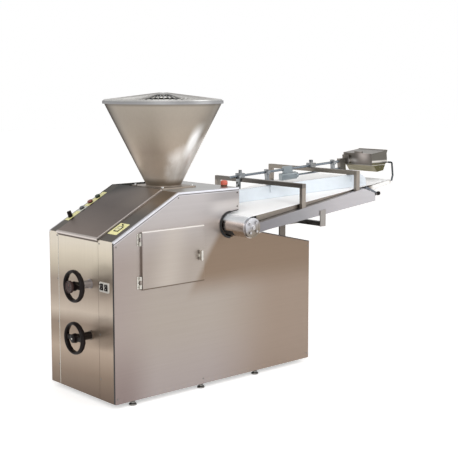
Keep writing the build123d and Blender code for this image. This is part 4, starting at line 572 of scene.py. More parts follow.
# the bed is pale at the nose, the roller's ends are stained, the switch frame is pale, other frames black
bedTone = parted("X", 1.86, 1.9, (134, 127, 119), (232, 231, 229))
rollerTone = parted("Y", -0.404, -0.407, foodWhite, dusterHues["stain"])
frameTone = parted("Z", 0.76, 0.74, (36, 33, 31), (204, 201, 194))
gloss = {"rough": 0.3, "grain": 900, "relief": 0.08, "mottle": 0.1, "coat": 0.4}
printed = {"rough": 0.42, "grain": 500, "relief": 0.06, "mottle": 0.06, "coat": 0.2}
foodSafe = {"grain": 500, "relief": 0.12, "mottle": 0.04}
painted = {"grain": 300, "relief": 0.12}
finishes = {
    "front": brushed("frontSteel", "z", frontTone, rough=0.36, metal=0.74),
    "side": brushed("sideSteel", "x", sideTone, rough=0.36),
    "door": brushed("doorSteel", "x", doorTone, rough=0.36),
    "cover": brushed("coverSteel", "x", coverTone),
    "strip": brushed("stripSteel", "x", stripTone),
    "deck": brushed("deckSteel", "x", deckTone),
    "hopper": brushed("hopperSteel", "z", hopperTone, rough=0.4, contrast=0.1),
    "wire": brushed("guardWire", "round", wireTone, rough=0.3, contrast=0.08, edge=None),
    "rail": brushed("railSteel", "x", railTone),
    "gantry": brushed("gantrySteel", "y", gantryTone),
    "bed": brushed("bedSteel", "x", bedTone),
    "duster": brushed("dusterSteel", "y", dusterTone, rough=0.36),
    "drum": brushed("drumSteel", "y", drumTone, rough=0.2, contrast=0.1, edge=None),
    "rod": brushed("rodSteel", "x", rodTone, rough=0.22, contrast=0.1, edge=None),
    "bracket": brushed("bracketSteel", "z", bracketTone, rough=0.36),
    "clamp": brushed("clampSteel", "x", ((128, 131, 134), (164, 166, 168)), contrast=0.1),
    "motor": brushed("motorShell", "x", ((138, 146, 150), (172, 179, 183)), rough=0.36, contrast=0.08),
    "grip": brushed("gripSteel", "x", ((72, 76, 82), (104, 108, 114)), contrast=0.1),
    "cap": brushed("capSteel", "x", capTone, rough=0.3, contrast=0.1),
    "bolt": brushed("boltSteel", "x", boltTone, rough=0.3, contrast=0.1),
    "tube": brushed("tubeSteel", "x", ((112, 106, 98), (138, 130, 121)), rough=0.36),
    "works": brushed("worksSteel", "x", ((140, 139, 137), (165, 163, 160))),
    "bright": brushed("brightSteel", "z", ((178, 175, 168), (204, 201, 194)), rough=0.24, contrast=0.06),
    "bush": brushed("bushSteel", "z", bushTone, rough=0.32, contrast=0.08, edge=None, metal=0.55),
    "roller": moulded("rollerWhite", rollerTone, **foodSafe),
    "white": moulded("foodWhite", foodWhite, **foodSafe),
    "guide": moulded("guideWhite", guideTone, rough=0.34, grain=300, relief=0.05, mottle=0.03, coat=0.2),
    "frames": moulded("framePlastic", frameTone, grain=600, relief=0.12, mottle=0.1),
    "black": moulded("blackPlastic", (22, 15, 14), grain=600, relief=0.16, mottle=0.25, shine=0.14),
    "ink": moulded("inkBlack", (28, 27, 26), rough=0.5, grain=900, relief=0.1),
    "paintBlack": moulded("blackPaint", (38, 36, 35), rough=0.35, mottle=0.2, coat=0.3, **painted),
    "paintGrey": moulded("greyPaint", (150, 152, 152), mottle=0.1, coat=0.25, **painted),
    "rubber": moulded("edgeRubber", (26, 25, 25), rough=0.6, grain=500, relief=0.3, mottle=0.2),
    "red": moulded("redPlastic", (122, 54, 38), **gloss),
    "redOrange": moulded("stopRed", (198, 88, 68), **{**gloss, "rough": 0.32}),
    "green": moulded("greenPlastic", (38, 58, 36), **gloss),
    "jogGrey": moulded("jogGrey", (92, 94, 97), **gloss),
    "ochre": moulded("baseOchre", (96, 60, 38), rough=0.42, relief=0.15, mottle=0.15),
    "yellow": moulded("labelYellow", (236, 232, 166), **printed),
    "paleLabel": moulded("labelPale", (206, 208, 198), **printed),
    "glass": moulded("displayYellow", (226, 222, 160), rough=0.2, grain=400, relief=0.02, mottle=0.06,
                     coat=0.6),
    "dial": moulded("dialBrown", (56, 38, 35), rough=0.34, grain=500, relief=0.08, mottle=0.15, coat=0.05,
                    shine=0.2),
    "dialInk": moulded("dialInk", (122, 104, 96), grain=900, relief=0.05),
    "belt": woven("beltWhite", (253, 254, 255)),
}
nodeFinish = {
    "front": ["front_panel", "front_strips"],
    "side": ["near_side_panel", "far_side_panel", "rear_cover"],
    "door": ["door"],
    "cover": ["slope_cover"],
    "strip": ["slope_strips"],
    "deck": ["top_deck"],
    "hopper": ["hopper"],
    "wire": ["hopper_guard"],
    "rail": ["near_rail", "far_rail"],
    "bracket": ["conveyor_brackets"],
    "gantry": ["gantries"],
    "bed": ["slider_bed"],
    "duster": ["duster_box", "duster_lid"],
    "drum": ["tail_guard", "tail_drum", "nose_roller"],
    "bush": ["wheel_bushes"],
    "rod": ["boom_rods", "duster_shaft"],
    "clamp": ["boom_clamps"],
    "motor": ["duster_motor"],
    "bright": ["door_hinges", "door_latch"],
    "bolt": ["hex_bolts", "panel_screws", "levelling_feet"],
    "tube": ["base_frame"],
    "works": ["dough_chamber", "main_piston", "knife", "measuring_drum", "measuring_piston", "crank_shaft",
              "weight_screw", "pressure_screw", "weight_nut", "pressure_nut"],
    "guide": ["guide_plate"],
    "frames": ["control_frames"],
    "black": ["weight_wheel", "pressure_wheel", "mains_switch", "belt_switch", "speed_knob",
              "counter_button"],
    "paintBlack": ["cross_bar"],
    "paintGrey": ["gearmotor"],
    "red": ["stop_button"],
    "redOrange": ["estop_button"],
    "green": ["start_button"],
    "jogGrey": ["jog_button"],
    "ochre": ["estop_base"],
    "roller": ["duster_roller"],
    "rubber": ["notch_trim"],
    "belt": ["belt"],
}
for finishName, names in nodeFinish.items():
    for name in names:
        mesh = cadNodes[name].data
        mesh.materials.clear()
        mesh.materials.append(finishes[finishName])
print("finishes on", sum(len(names) for names in nodeFinish.values()), "nodes")


# modelling helpers: shapes are in millimetres about their own middle
def spinRound(shape, steps):
    line = shape.verts[:] + shape.edges[:]
    bmesh.ops.spin(shape, geom=line, cent=(0, 0, 0), axis=(0, 0, 1), angle=2 * pi, steps=steps,
                   use_merge=True)
    bmesh.ops.remove_doubles(shape, verts=shape.verts, dist=0.0001)
    return shape


def soften(shape, edges, offset, segments):
    bmesh.ops.bevel(shape, geom=edges, offset=offset, segments=segments, profile=0.5, affect="EDGES",
                    material=-1)


def lathe(profile, steps):
    shape = bmesh.new()
    line = [shape.verts.new((radius, 0, height)) for radius, height in profile]
    for pair in zip(line, line[1:]):
        shape.edges.new(pair)
    return spinRound(shape, steps)


def flatRing(inner, outer, low, high, steps):
    return lathe([(inner, low), (inner, high), (outer, high), (outer, low), (inner, low)], steps)


def slab(length, width, height, corner=0.0, soft=0.0):
    shape = bmesh.new()
    bmesh.ops.create_cube(shape, size=1, matrix=Matrix.Diagonal((length, width, height, 1)))
    if corner:
        upright = [e for e in shape.edges if abs(e.verts[0].co.z - e.verts[1].co.z) > height / 2]
        soften(shape, upright, corner, 5)
    if soft:
        soften(shape, [e for e in shape.edges if min(v.co.z for v in e.verts) > 0], soft, 2)
    return shape


def hexHead(radius, height, edge=0.6):
    shape = bmesh.new()
    bmesh.ops.create_cone(shape, cap_ends=True, segments=6, radius1=radius, radius2=radius, depth=height,
                          matrix=Matrix.Translation((0, 0, height / 2)))
    soften(shape, [e for e in shape.edges if min(v.co.z for v in e.verts) > height * 0.9], edge, 2)
    return shape


def roundHead(radius, height):
    return lathe([(0, height), (radius * 0.45, height * 0.95), (radius * 0.8, height * 0.7),
                  (radius, height * 0.2), (radius, 0), (0, 0)], 20)


# a disc with a wavy rim, drawn out to a grip
def wavyGrip(radius, wave, lobes, height, segments, edge):
    shape = bmesh.new()
    bmesh.ops.create_circle(shape, cap_ends=True, segments=segments, radius=radius)
    for vert in shape.verts:
        vert.co *= 1 + wave / radius * cos(lobes * atan2(vert.co.y, vert.co.x))
    made = bmesh.ops.extrude_face_region(shape, geom=shape.faces[:])
    drawn = [g for g in made["geom"] if isinstance(g, bmesh.types.BMVert)]
    bmesh.ops.translate(shape, verts=drawn, vec=(0, 0, height))
    soften(shape, [e for e in shape.edges if abs(e.verts[0].co.z - e.verts[1].co.z) < 0.01], *edge)
    return shape


def rodBetween(start, end, radius, sides=8):
    shape = bmesh.new()
    span = end - start
    turn = span.to_track_quat("Z", "Y").to_matrix().to_4x4()
    bmesh.ops.create_cone(shape, cap_ends=True, segments=sides, radius1=radius, radius2=radius,
                          depth=span.length, matrix=Matrix.Translation((start + end) / 2) @ turn)
    return shape


# plain numbers as raised ink
def figures(text, size, thick=0.15):
    curve = bpy.data.curves.new(text, "FONT")
    curve.body = text
    curve.size = size
    curve.extrude = thick / 2
    curve.align_x = "CENTER"
    curve.align_y = "CENTER"
    curve.resolution_u = 3
    words = bpy.data.objects.new(text, curve)
    mesh = bpy.data.meshes.new_from_object(words)
    shape = bmesh.new()
    shape.from_mesh(mesh)
    bmesh.ops.remove_doubles(shape, verts=shape.verts, dist=0.0001)
    bpy.data.objects.remove(words)
    bpy.data.curves.remove(curve)
    bpy.data.meshes.remove(mesh)
    return shape


# joins parts into a piece on a body: each is a shape, its place and, unless 0, the number of its finish
def addPiece(name, parts, finishNames, body, slot, *replaced):
    whole = bmesh.new()
    for shape, place, *number in parts:
        for face in shape.faces:
            face.material_index = number[0] if number else 0
        shape.transform(place @ Matrix.Diagonal((0.001, 0.001, 0.001, 1)))
        mesh = bpy.data.meshes.new("part")
        shape.to_mesh(mesh)
        shape.free()
        whole.from_mesh(mesh)
        bpy.data.meshes.remove(mesh)
    bmesh.ops.recalc_face_normals(whole, faces=whole.faces)
    mesh = bpy.data.meshes.new(name)
    whole.to_mesh(mesh)
    whole.free()
    for finishName in finishNames:
        mesh.materials.append(finishes[finishName])
    mesh.shade_smooth()
    mesh.set_sharp_from_angle(angle=radians(40))
    piece = addObject(name, mesh)
    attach(piece, body)
    if replaced:
        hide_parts(*replaced)


# handwheels: oval rim with finger waves behind, waisted spokes, stepped hub, a dial on the upper one
wheel = {"y": -92, "plane": -105, "radius": 81, "height": 9, "depth": 16, "waves": 16, "waveDepth": 0.1,
         "hub": 24, "spoke": (38, 13), "waist": 0.34, "taper": 0.2, "edge": 2.5, "screw": (5, 3),
         "screwAt": 19.8, "set": {"weight": (660, True), "pressure": (373, False)}}
dial = {"radius": 34, "face": 33.1, "numbers": 10, "figure": 5.5, "figureIn": 16, "tickIn": 9.5,
        "ticks": [(6, 0.9, 0.3), (4, 0.9, 0.3)], "hand": (2, 17, 0.8, 0.4), "handOut": 6, "over": 33.6,
        "pin": [(0, 1.8), (1.8, 1.6), (2.4, 0.6), (2.4, 0), (0, 0)]}


def wheelRim():
    shape = bmesh.new()
    oval = Matrix.Rotation(pi / 2, 4, "X") @ Matrix.Diagonal((wheel["height"], wheel["depth"], 1, 1))
    bmesh.ops.create_circle(shape, cap_ends=False, segments=24, radius=1,
                            matrix=Matrix.Translation((wheel["radius"], 0, 0)) @ oval)
    spinRound(shape, 128)
    for vert in shape.verts:
        if vert.co.z < 0:
            turn = atan2(vert.co.y, vert.co.x)
            vert.co.z *= 1 - wheel["waveDepth"] * (0.5 + 0.5 * cos(wheel["waves"] * turn))
    return shape


def wheelSpokes():
    height, thick = wheel["spoke"]
    shape = slab(2 * wheel["radius"], height, thick)
    lengthwise = [e for e in shape.edges if abs(e.verts[0].co.x - e.verts[1].co.x) > height]
    bmesh.ops.subdivide_edges(shape, edges=lengthwise, cuts=23, use_grid_fill=True)
    for vert in shape.verts:
        share = abs(vert.co.x) / wheel["radius"]
        vert.co.y *= 1 - wheel["waist"] * sin(pi * max(0.0, share - 0.25) / 0.75)
        vert.co.z *= 1 - wheel["taper"] * share
    long = [e for e in shape.edges if len(e.link_faces) == 2 and e.calc_face_angle() > 1]
    soften(shape, long, wheel["edge"], 3)
    return shape


def wheelHub():
    r = wheel["hub"]
    return lathe([(0, 20), (r * 0.5, 20), (r * 0.62, 18.5), (r * 0.9, 18), (r, 16), (r, 6), (r * 1.12, 2),
                  (r * 1.12, -6), (r, -10), (r * 0.86, -27), (r * 0.8, -30), (0, -30)], 40)


def dialParts(place):
    r, count, face = dial["radius"], dial["numbers"], dial["face"]
    yield lathe([(0, 33), (r - 5, 33), (r - 4.5, 34.5), (r - 3.5, 36), (r - 1.5, 36), (r, 34), (r, 22),
                 (r - 3, 20), (0, 20)], 48), place, 1
    for tick in range(2 * count):
        turn = Matrix.Rotation(pi * tick / count, 4, "Z")
        yield slab(*dial["ticks"][tick % 2]), place @ turn @ shift(r - dial["tickIn"], 0, face), 2
    for number in range(count):
        turn, reach = 2 * pi * number / count, r - dial["figureIn"]
        middle = shift(reach * sin(turn), reach * cos(turn), face)
        yield figures(str(number), dial["figure"]), place @ middle, 2
    yield slab(*dial["hand"]), place @ shift(0, dial["handOut"], dial["over"]), 3
    yield lathe(dial["pin"], 20), place @ shift(0, 0, dial["over"])


def wheelParts(z, hasDial):
    place = setAt((wheel["plane"], wheel["y"], z), (-1, 0, 0), (0, -1, 0))
    for shape in (wheelRim(), wheelSpokes(), wheelHub()):
        yield shape, place
    if hasDial:
        yield from dialParts(place)
    else:
        yield roundHead(*wheel["screw"]), place @ shift(0, 0, wheel["screwAt"]), 4


for name, (z, hasDial) in wheel["set"].items():
    addPiece(name + "Handwheel", wheelParts(z, hasDial), ["black", "dial", "dialInk", "red", "bright"],
             name + "_turn", "black_plastic", name + "_wheel")
print("handwheels made")

# labels on the control strips: x, y, length seen from above and width, and the marks printed on them
labels = {"thick": 0.3, "corner": 4, "ink": 0.2, "pale": [(203.5, 283, 50, 42)],
          "yellow": [(97, -230, 92, 84), (135.5, 283, 84, 42), (297.5, 283, 135, 42)],
          "ticks": 11, "firstTick": 225, "tickStep": 27, "tickOut": 18.5, "tick": (3.4, 0.8),
          "fifthTick": (5, 0.8), "stopRing": (2.2, 3), "startBar": (1, 6), "markDown": 19, "figure": 9,
          "ends": [(-33, "0"), (33, "9")]}
counter = {"x": 97, "y": -230, "lift": 3.3, "window": (38, 30, 0.6, 2, 0.2), "reading": "1250",
           "readingUp": 0.4}
# a white line on the speed knob's pointer, and I and O on the rockers
knob = {"x": 126, "y": 288, "line": (12, 1.4, 0.4), "lineOut": 6, "lineUp": 35.2}
rocker = {"z": 661, "face": -10.2, "tilt": 14.5, "step": 8, "size": 5, "bar": 1, "ring": 0.9, "ink": 0.3,
          "set": {"mains": -254, "belt_power": -212}}
# stop and start caps wider than their collars, and a skirted mushroom on the emergency stop
buttons = {"y": 288, "collar": 4, "travel": 3.4, "cap": 7, "neck": (12, 3.9), "stem": (5.8, -11),
           "caps": {"stop": (264, 17, "red", "red_plastic"), "start": (317, 16, "green", "green_plastic")}}
mushroom = {"place": (869, -214, 1150), "radius": 21.3, "top": 36, "skirt": 9, "roof": 18.6, "inside": 19.6,
            "stem": (8, -8)}
sideways = Matrix.Rotation(-pi / 2, 4, "Z")


def labelParts():
    thick, ink = labels["thick"], labels["ink"]
    lift = thick + ink / 2
    for kind, number in (("yellow", 0), ("pale", 2)):
        for x, y, length, width in labels[kind]:
            sheet = slab(length / cos(slopeAngle), width, thick, labels["corner"])
            yield sheet, onSlope(x, y, thick / 2), number
    for tick in range(labels["ticks"]):
        turn = Matrix.Rotation(radians(labels["firstTick"] - labels["tickStep"] * tick), 4, "Z")
        place = onSlope(knob["x"], knob["y"], lift) @ turn @ shift(labels["tickOut"], 0, 0)
        yield slab(*labels["tick" if tick % 5 else "fifthTick"], ink), place, 1
    marks = {"stop": flatRing(*labels["stopRing"], 0, ink, 24), "start": slab(*labels["startBar"], ink)}
    for name, mark in marks.items():
        yield mark, onSlope(buttons["caps"][name][0], buttons["y"] - labels["markDown"], lift), 1
    for offset, digit in labels["ends"]:
        place = onSlope(counter["x"], counter["y"] + offset, lift)
        yield figures(digit, labels["figure"], ink), place @ sideways, 1


def counterParts():
    place = onSlope(counter["x"], counter["y"], counter["lift"])
    yield slab(*counter["window"]), place
    reading = figures(counter["reading"], labels["figure"], labels["ink"])
    yield reading, place @ sideways @ shift(0, 0, counter["readingUp"]), 1


def rockerParts(y):
    tilt, r, ink = radians(rocker["tilt"]), rocker["size"] / 2, rocker["ink"]
    ring = flatRing(r - rocker["ring"], r, -ink / 2, ink / 2, 28)
    for side, mark in {1: slab(rocker["bar"], 2 * r, ink), -1: ring}.items():
        point = (rocker["face"], y, rocker["z"] + side * rocker["step"])
        yield mark, setAt(point, (-cos(tilt), 0, -side * sin(tilt)), (0, -1, 0))


def buttonCap(r):
    under = buttons["collar"] + buttons["travel"]
    top = under + buttons["cap"]
    (neck, foot), (stem, end) = buttons["neck"], buttons["stem"]
    return lathe([(0, top), (r * 0.6, top - 0.3), (r * 0.86, top - 1.2), (r * 0.97, top - 2.8),
                  (r, top - 4.5), (r, under + 0.6), (r - 0.6, under), (neck, under), (neck, foot),
                  (stem, foot), (stem, end), (0, end)], 40)


def mushroomCap():
    r, top, low, roof, inside = (mushroom[key] for key in ("radius", "top", "skirt", "roof", "inside"))
    stem, end = mushroom["stem"]
    return lathe([(0, top), (r * 0.46, top - 0.5), (r * 0.74, top - 2.2), (r * 0.92, top - 5.5),
                  (r * 0.985, top - 10), (r, top - 16), (r, low + 0.6), (r - 0.6, low), (inside, low),
                  (inside, roof), (stem, roof), (stem, end), (0, end)], 48)


addPiece("controlLabels", labelParts(), ["yellow", "ink", "paleLabel"], "machine", "white_plastic")
addPiece("counterWindow", counterParts(), ["glass", "dialInk"], "machine", "grey_plastic")
pointer = onSlope(knob["x"] + knob["lineOut"], knob["y"], knob["lineUp"])
addPiece("knobLine", [(slab(*knob["line"]), pointer)], ["white"], "speed", "white_plastic")
for body, y in rocker["set"].items():
    addPiece(body + "Marks", rockerParts(y), ["white"], body, "white_plastic")
for name, (x, radius, finishName, slot) in buttons["caps"].items():
    place = onSlope(x, buttons["y"])
    addPiece(name + "Cap", [(buttonCap(radius), place)], [finishName], name, slot, name + "_button")
place = Matrix.Translation(spot(*mushroom["place"]))
addPiece("stopMushroom", [(mushroomCap(), place)], ["redOrange"], "estop", "red_plastic", "estop_button")
print("labels, marks and buttons made")

# panel screws: hex heads on round flanges, at x and z on both sides and at y and z on the front
screws = {"flange": [(0, 0.9), (4, 0.9), (5, 0.5), (5, 0), (0, 0)], "head": (3.4, 2.6, 0.5),
          "side": [(15, 887), (440, 1120), (878, 1120), (878, 1040), (1468, 745), (1468, 58), (15, 58),
                   (616, 58)],
          "front": [(y, z) for y in (-183, 237) for z in (143, 393, 643, 893)]}


def screwParts():
    places = [setAt((x, side * cabinet["half"], z), (0, side, 0), (1, 0, 0))
              for side in (-1, 1) for x, z in screws["side"]]
    places += [setAt((0, y, z), (-1, 0, 0), (0, 1, 0)) for y, z in screws["front"]]
    for place in places:
        yield lathe(screws["flange"], 16), place
        yield hexHead(*screws["head"]), place


# star grips on the boom's clamps and a bolted hanger plate on the first gantry
starGrip = {"radius": 12, "wave": 2, "lobes": 5, "height": 13, "segments": 60, "edge": (2, 3)}
boom = {"start": (1246, 61, 1170), "end": (1960, -172, 1244.2), "saddle": (1727, 1244), "hangers": (185, 668),
        "hangerOut": 23}
hanger = {"place": (1226, 56, 1131), "size": (82, 36, 9, 3, 1), "bolt": (5.5, 4.5),
          "bolts": [(-31, 9), (-4, 9), (26, 9), (-18, -9)]}


def gripParts():
    start, end = Vector(boom["start"]), Vector(boom["end"])
    along = (end - start).normalized()
    out = along.cross(Vector((0, 0, 1))).normalized()
    x, top = boom["saddle"]
    y = start.y + (x - start.x) / (end.x - start.x) * (end.y - start.y)
    yield wavyGrip(**starGrip), setAt((x, y, top), (0, 0, 1), (1, 0, 0))
    for reach in boom["hangers"]:
        point = start + along * reach + out * boom["hangerOut"]
        yield wavyGrip(**starGrip), setAt(point, out, out.cross(along))


def hangerParts():
    place = setAt(hanger["place"], (-1, 0, 0), (0, 0, 1))
    yield slab(*hanger["size"]), place
    for x, y in hanger["bolts"]:
        yield hexHead(*hanger["bolt"]), place @ shift(x, y, hanger["size"][2] / 2), 1


addPiece("panelScrewHeads", screwParts(), ["bolt"], "machine", "zinc_steel", "panel_screws")
addPiece("boomGrips", gripParts(), ["grip"], "machine", "black_plastic")
addPiece("boomHanger", hangerParts(), ["clamp", "black"], "machine", "zinc_steel")
print("screws and grips made")

# hopper: the weld bead between the cone and its plate
weld = {"size": 3, "out": 1, "above": 1, "ripple": 0.25, "ripples": 80}
hopperMiddle = Matrix.Translation(spot(hopper["x"], 0, 0))


def weldBead():
    shape = bmesh.new()
    middle = Matrix.Translation((hopper["neck"] + weld["out"], 0, hopper["plateTop"] + weld["above"]))
    bmesh.ops.create_circle(shape, cap_ends=False, segments=10, radius=weld["size"],
                            matrix=middle @ Matrix.Rotation(pi / 2, 4, "X"))
    spinRound(shape, 160)
    for vert in shape.verts:
        vert.co.z += weld["ripple"] * sin(weld["ripples"] * atan2(vert.co.y, vert.co.x))
    return shape


# guard: fine wires from a small cap to a flat band, two rings under them, a hinge sleeve at the back
guard = {"apex": 1699, "base": 1656.6, "edge": 341, "hub": 26, "hubDeep": 3.5, "wires": 54, "wire": 3.5,
         "rings": (127, 239), "drop": 2.6, "band": 7, "low": 1654, "hinge": (365, 1657), "sleeve": 8,
         "half": 22.8, "tab": (2.6, 2), "tabAt": 1657.9, "inset": 2}


def guardHeight(radius):
    return guard["apex"] - (guard["apex"] - guard["base"]) * radius / guard["edge"]


def guardShapes():
    top, hub, edge, wire, band, low = (guard[key] for key in ("apex", "hub", "edge", "wire", "band", "low"))
    root = guardHeight(hub) - guard["hubDeep"]
    yield lathe([(0, top), (hub * 0.6, top - 0.6), (hub - 1, top - 2.2), (hub, top - 3.4), (hub, root),
                 (0, root)], 40)
    inside = hub - guard["inset"]
    for step in range(guard["wires"]):
        turn = 2 * pi * step / guard["wires"]
        out = Vector((cos(turn), sin(turn), 0))
        start, end = (out * reach + Vector((0, 0, guardHeight(reach))) for reach in (inside, edge))
        yield rodBetween(start, end, wire)
    for r in guard["rings"]:
        z = guardHeight(r) - guard["drop"]
        yield lathe([(r - wire, z), (r, z + wire), (r + wire, z), (r, z - wire), (r - wire, z)], 96)
    inner, outer, high = edge - band / 2, edge + band / 2, low + band
    yield lathe([(inner, low), (inner, high), (outer - 1, high), (outer, high - 1), (outer, low),
                 (inner, low)], 120)
    y, z = guard["hinge"]
    left, right = (Vector((side * guard["half"], y, z)) for side in (-1, 1))
    yield rodBetween(left, right, guard["sleeve"], 28)
    tab = slab(2 * guard["half"], y - edge, *guard["tab"])
    tab.transform(Matrix.Translation((0, (y + edge) / 2, guard["tabAt"])))
    yield tab


# drum cap: raised rings and the axle nut
cap = {"y": -516, "ring": [(44, 0), (44.8, 1.6), (49.2, 1.6), (50, 0)], "nut": (12, 7, 1), "nutAt": 2.9,
       "boss": [(0, 3), (17, 3), (19, 2), (20, 0), (0, 0)],
       "axle": [(0, 8.5), (5, 8.5), (6, 7.5), (6, 4), (0, 4)], "axleAt": 2}


def capParts():
    place = setAt((conveyor["x"], cap["y"], conveyor["z"]), (0, -1, 0), (1, 0, 0))
    yield lathe(cap["ring"], 72), place
    yield lathe(cap["boss"], 40), place
    yield hexHead(*cap["nut"]), place @ shift(0, 0, cap["nutAt"]), 1
    yield lathe(cap["axle"], 20), place @ shift(0, 0, cap["axleAt"]), 1


# conveyor take-up: a knurled grip on each screw past the rails, a stop block on the rail's nose, a strut
takeUp = {"middle": -107.5, "gripOut": 387.5, "gripAt": (1104, -8), "blockOut": 386.5, "blockAt": (1010, 37),
          "block": (34, 12, 26, 1.5, 1), "lean": 25.4, "bolt": (5, 5), "bolts": (-8, 8), "boltUp": 13,
          "strut": [(1024, 40), (1106, -8)], "strutSize": (8, 13, 2, 1)}
knurledGrip = {"radius": 12, "wave": 0.72, "lobes": 18, "height": 20, "segments": 72, "edge": (1.5, 2)}


def takeUpParts():
    lean = radians(takeUp["lean"])
    ahead = beltAlong * cos(lean) - beltUp * sin(lean)
    over = beltUp * cos(lean) + beltAlong * sin(lean)
    for side in (-1, 1):
        gripY, blockY = (takeUp["middle"] + side * takeUp[key] for key in ("gripOut", "blockOut"))
        reach, height = takeUp["gripAt"]
        yield wavyGrip(**knurledGrip), setAt(onBelt(reach, gripY, height), beltAlong, (0, 1, 0))
        reach, height = takeUp["blockAt"]
        seat = onBelt(reach, blockY, height)
        yield slab(*takeUp["block"]), setAt(seat, over, ahead), 1
        for step in takeUp["bolts"]:
            point = seat + ahead * step + over * takeUp["boltUp"]
            yield hexHead(*takeUp["bolt"]), setAt(point, over, ahead), 1
        start, end = (onBelt(reach, blockY, height) for reach, height in takeUp["strut"])
        span = end - start
        place = setAt((start + end) / 2, span.cross(Vector((0, 1, 0))), span)
        yield slab(span.length, *takeUp["strutSize"]), place, 1


# under the drum's cover a dark rubber flap that stands for the shade in the notch, and edging along the top
# of the side sheet's cut-out
flap = {"radius": 61.5, "from": 206, "turn": 36, "steps": 14, "start": -326, "length": 76, "thick": 1.5}
edging = {"along": 38, "above": 74, "y": -320.5, "size": (64, 9, 5, 1.5, 1)}


def rubberParts():
    # the flap is dark to stand for the shade under the drum
    shape = bmesh.new()
    line = [shape.verts.new((flap["radius"], 0, height)) for height in (0, flap["length"])]
    bmesh.ops.spin(shape, geom=line + [shape.edges.new(line)], cent=(0, 0, 0), axis=(0, 0, 1),
                   angle=radians(flap["turn"]), steps=flap["steps"])
    bmesh.ops.recalc_face_normals(shape, faces=shape.faces)
    bmesh.ops.solidify(shape, geom=shape.faces[:], thickness=flap["thick"])
    start = rising(radians(flap["from"]))[0]
    yield shape, setAt((conveyor["x"], flap["start"], conveyor["z"]), (0, -1, 0), start)
    middle = onBelt(edging["along"], edging["y"], edging["above"])
    yield slab(*edging["size"]), setAt(middle, beltUp, beltAlong)


# round heads on the guide, cover and hinges, lock nuts on the feet, strips on the front's seam and corner,
# the corner's black strip standing for the shadow in its gap
guide = {"start": (960, -40, 0), "end": (1851, -466, 0), "places": (0.1, 0.27, 0.45, 0.75, 0.9), "out": 3,
         "above": 97, "head": (6, 3)}
coverScrew = {"place": (402, 216, 2), "head": (5, 2.5)}
hinges = {"x": 156.5, "y": -322, "bottoms": (643, 879), "steps": (11, 34, 57), "head": (3.4, 1.6)}
feet = {"x": (130, 616, 1043), "y": 297, "low": 12, "nut": (14, 9, 1)}
seam = {"low": 30, "high": 908, "thick": 1.6, "edge": (2, 0.5), "strips": {
    "farSeamStrip": (226, 4.5, "bright", "stainless"),
    # a black strip that stands for the shadow in the near corner's gap
    "cornerTrim": (-311.5, 12, "rubber", "black_rubber")}}


def fixingParts():
    start, end = Vector(guide["start"]), Vector(guide["end"])
    along = (end - start).normalized()
    out = Vector((along.y, -along.x, 0))
    for share in guide["places"]:
        point = start + (end - start) * share + out * guide["out"]
        point.z = conveyor["z"] + guide["above"] + (point.x - conveyor["x"]) * tan(beltAngle)
        yield roundHead(*guide["head"]), setAt(point, out, (0, 0, 1))
    yield roundHead(*coverScrew["head"]), onSlope(*coverScrew["place"])
    for bottom in hinges["bottoms"]:
        for step in hinges["steps"]:
            place = setAt((hinges["x"], hinges["y"], bottom + step), (0, -1, 0), (1, 0, 0))
            yield roundHead(*hinges["head"]), place
    for x in feet["x"]:
        for side in (-1, 1):
            yield hexHead(*feet["nut"]), Matrix.Translation(spot(x, side * feet["y"], feet["low"]))


def seamParts(y, width):
    low, high = seam["low"], seam["high"]
    place = setAt((0, y, (high + low) / 2), (-1, 0, 0), (0, 0, 1))
    yield slab(high - low, width, seam["thick"], *seam["edge"]), place


addPiece("hopperWelds", [(weldBead(), hopperMiddle)], ["hopper"], "machine", "stainless")
guardParts = ((shape, hopperMiddle) for shape in guardShapes())
addPiece("guardWires", guardParts, ["wire"], "guard", "stainless", "hopper_guard")
addPiece("drumCapRings", capParts(), ["cap", "bolt"], "machine", "stainless")
addPiece("takeUpGrips", takeUpParts(), ["black", "grip"], "machine", "black_plastic")
addPiece("drumRubber", rubberParts(), ["rubber"], "machine", "black_rubber")
addPiece("roundHeadsAndNuts", fixingParts(), ["bolt"], "machine", "zinc_steel")
for name, (y, width, finishName, slot) in seam["strips"].items():
    addPiece(name, seamParts(y, width), [finishName], "machine", slot)
print("weld, guard, conveyor's small pieces, fixings and seams made")

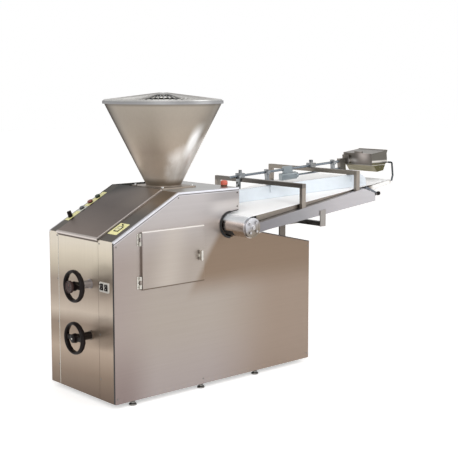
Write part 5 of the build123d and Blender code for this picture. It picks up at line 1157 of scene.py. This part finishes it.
studio = {"floorSize": 60, "floor": ((0.86, 0.86, 0.86, 1), (0.9, 0.9, 0.9, 1)), "floorGlow": 0.5,
          "level": (1, 1, 1), "zenith": (0.4, 0.38, 0.36), "aim": (700, -50, 700), "lamps": {
              "key": {"place": (-2600, -3600, 3600), "size": 2.6, "power": 80},
              "fill": {"place": (3600, -3600, 2600), "size": 3.0, "power": 50},
              "top": {"place": (900, -900, 4600), "size": 3.2, "power": 45}}}


# a soft world that is white at eye level and greyer overhead, and soft lamps
def setLight():
    world = bpy.data.worlds.new("studio")
    scene.world = world
    world.use_nodes = True
    sky = Shading(world.node_tree)
    height, = sky.split(sky.place, "Z")
    stops = [(0.0, studio["level"]), (1.0, studio["zenith"])]
    tint = sky.node("ValToRGB", {"stops": stops}, {0: height.ease(0.25, 0.85)})
    world.node_tree.links.new(tint.socket, world.node_tree.nodes["Background"].inputs["Color"])
    for name, lamp in studio["lamps"].items():
        light = bpy.data.lights.new(name, "AREA")
        light.energy = lamp["power"]
        light.size = lamp["size"]
        holder = addObject(name, light)
        holder.location = spot(*lamp["place"])
        holder.rotation_euler = (spot(*studio["aim"]) - holder.location).to_track_quat("-Z", "Y").to_euler()


# a pale floor that glows a little for the camera and in reflections
def setFloor():
    shape = bmesh.new()
    bmesh.ops.create_grid(shape, x_segments=1, y_segments=1, size=studio["floorSize"] / 2)
    mesh = bpy.data.meshes.new("floor")
    shape.to_mesh(mesh)
    shape.free()
    floor = addObject("floor", mesh)
    finish = Finish("paleFloor", Roughness=0.9)
    finish.feed(Base_Color=finish.mix(finish.noise(30), *studio["floor"]))
    camera, glossy, through = (finish.node("LightPath", output=f"Is {ray} Ray")
                               for ray in ("Camera", "Glossy", "Transmission"))
    glow = finish.node("Emission", None, {"Strength": (camera + glossy + through) * studio["floorGlow"]})
    both = finish.node("AddShader", None, {0: Tone(finish.tree, finish.shader.outputs[0]), 1: glow})
    finish.tree.links.new(both.socket, finish.tree.nodes["Material Output"].inputs["Surface"])
    mesh.materials.append(finish.material)


setLight()
setFloor()
scene.view_settings.view_transform = "Standard"
print("studio lit")
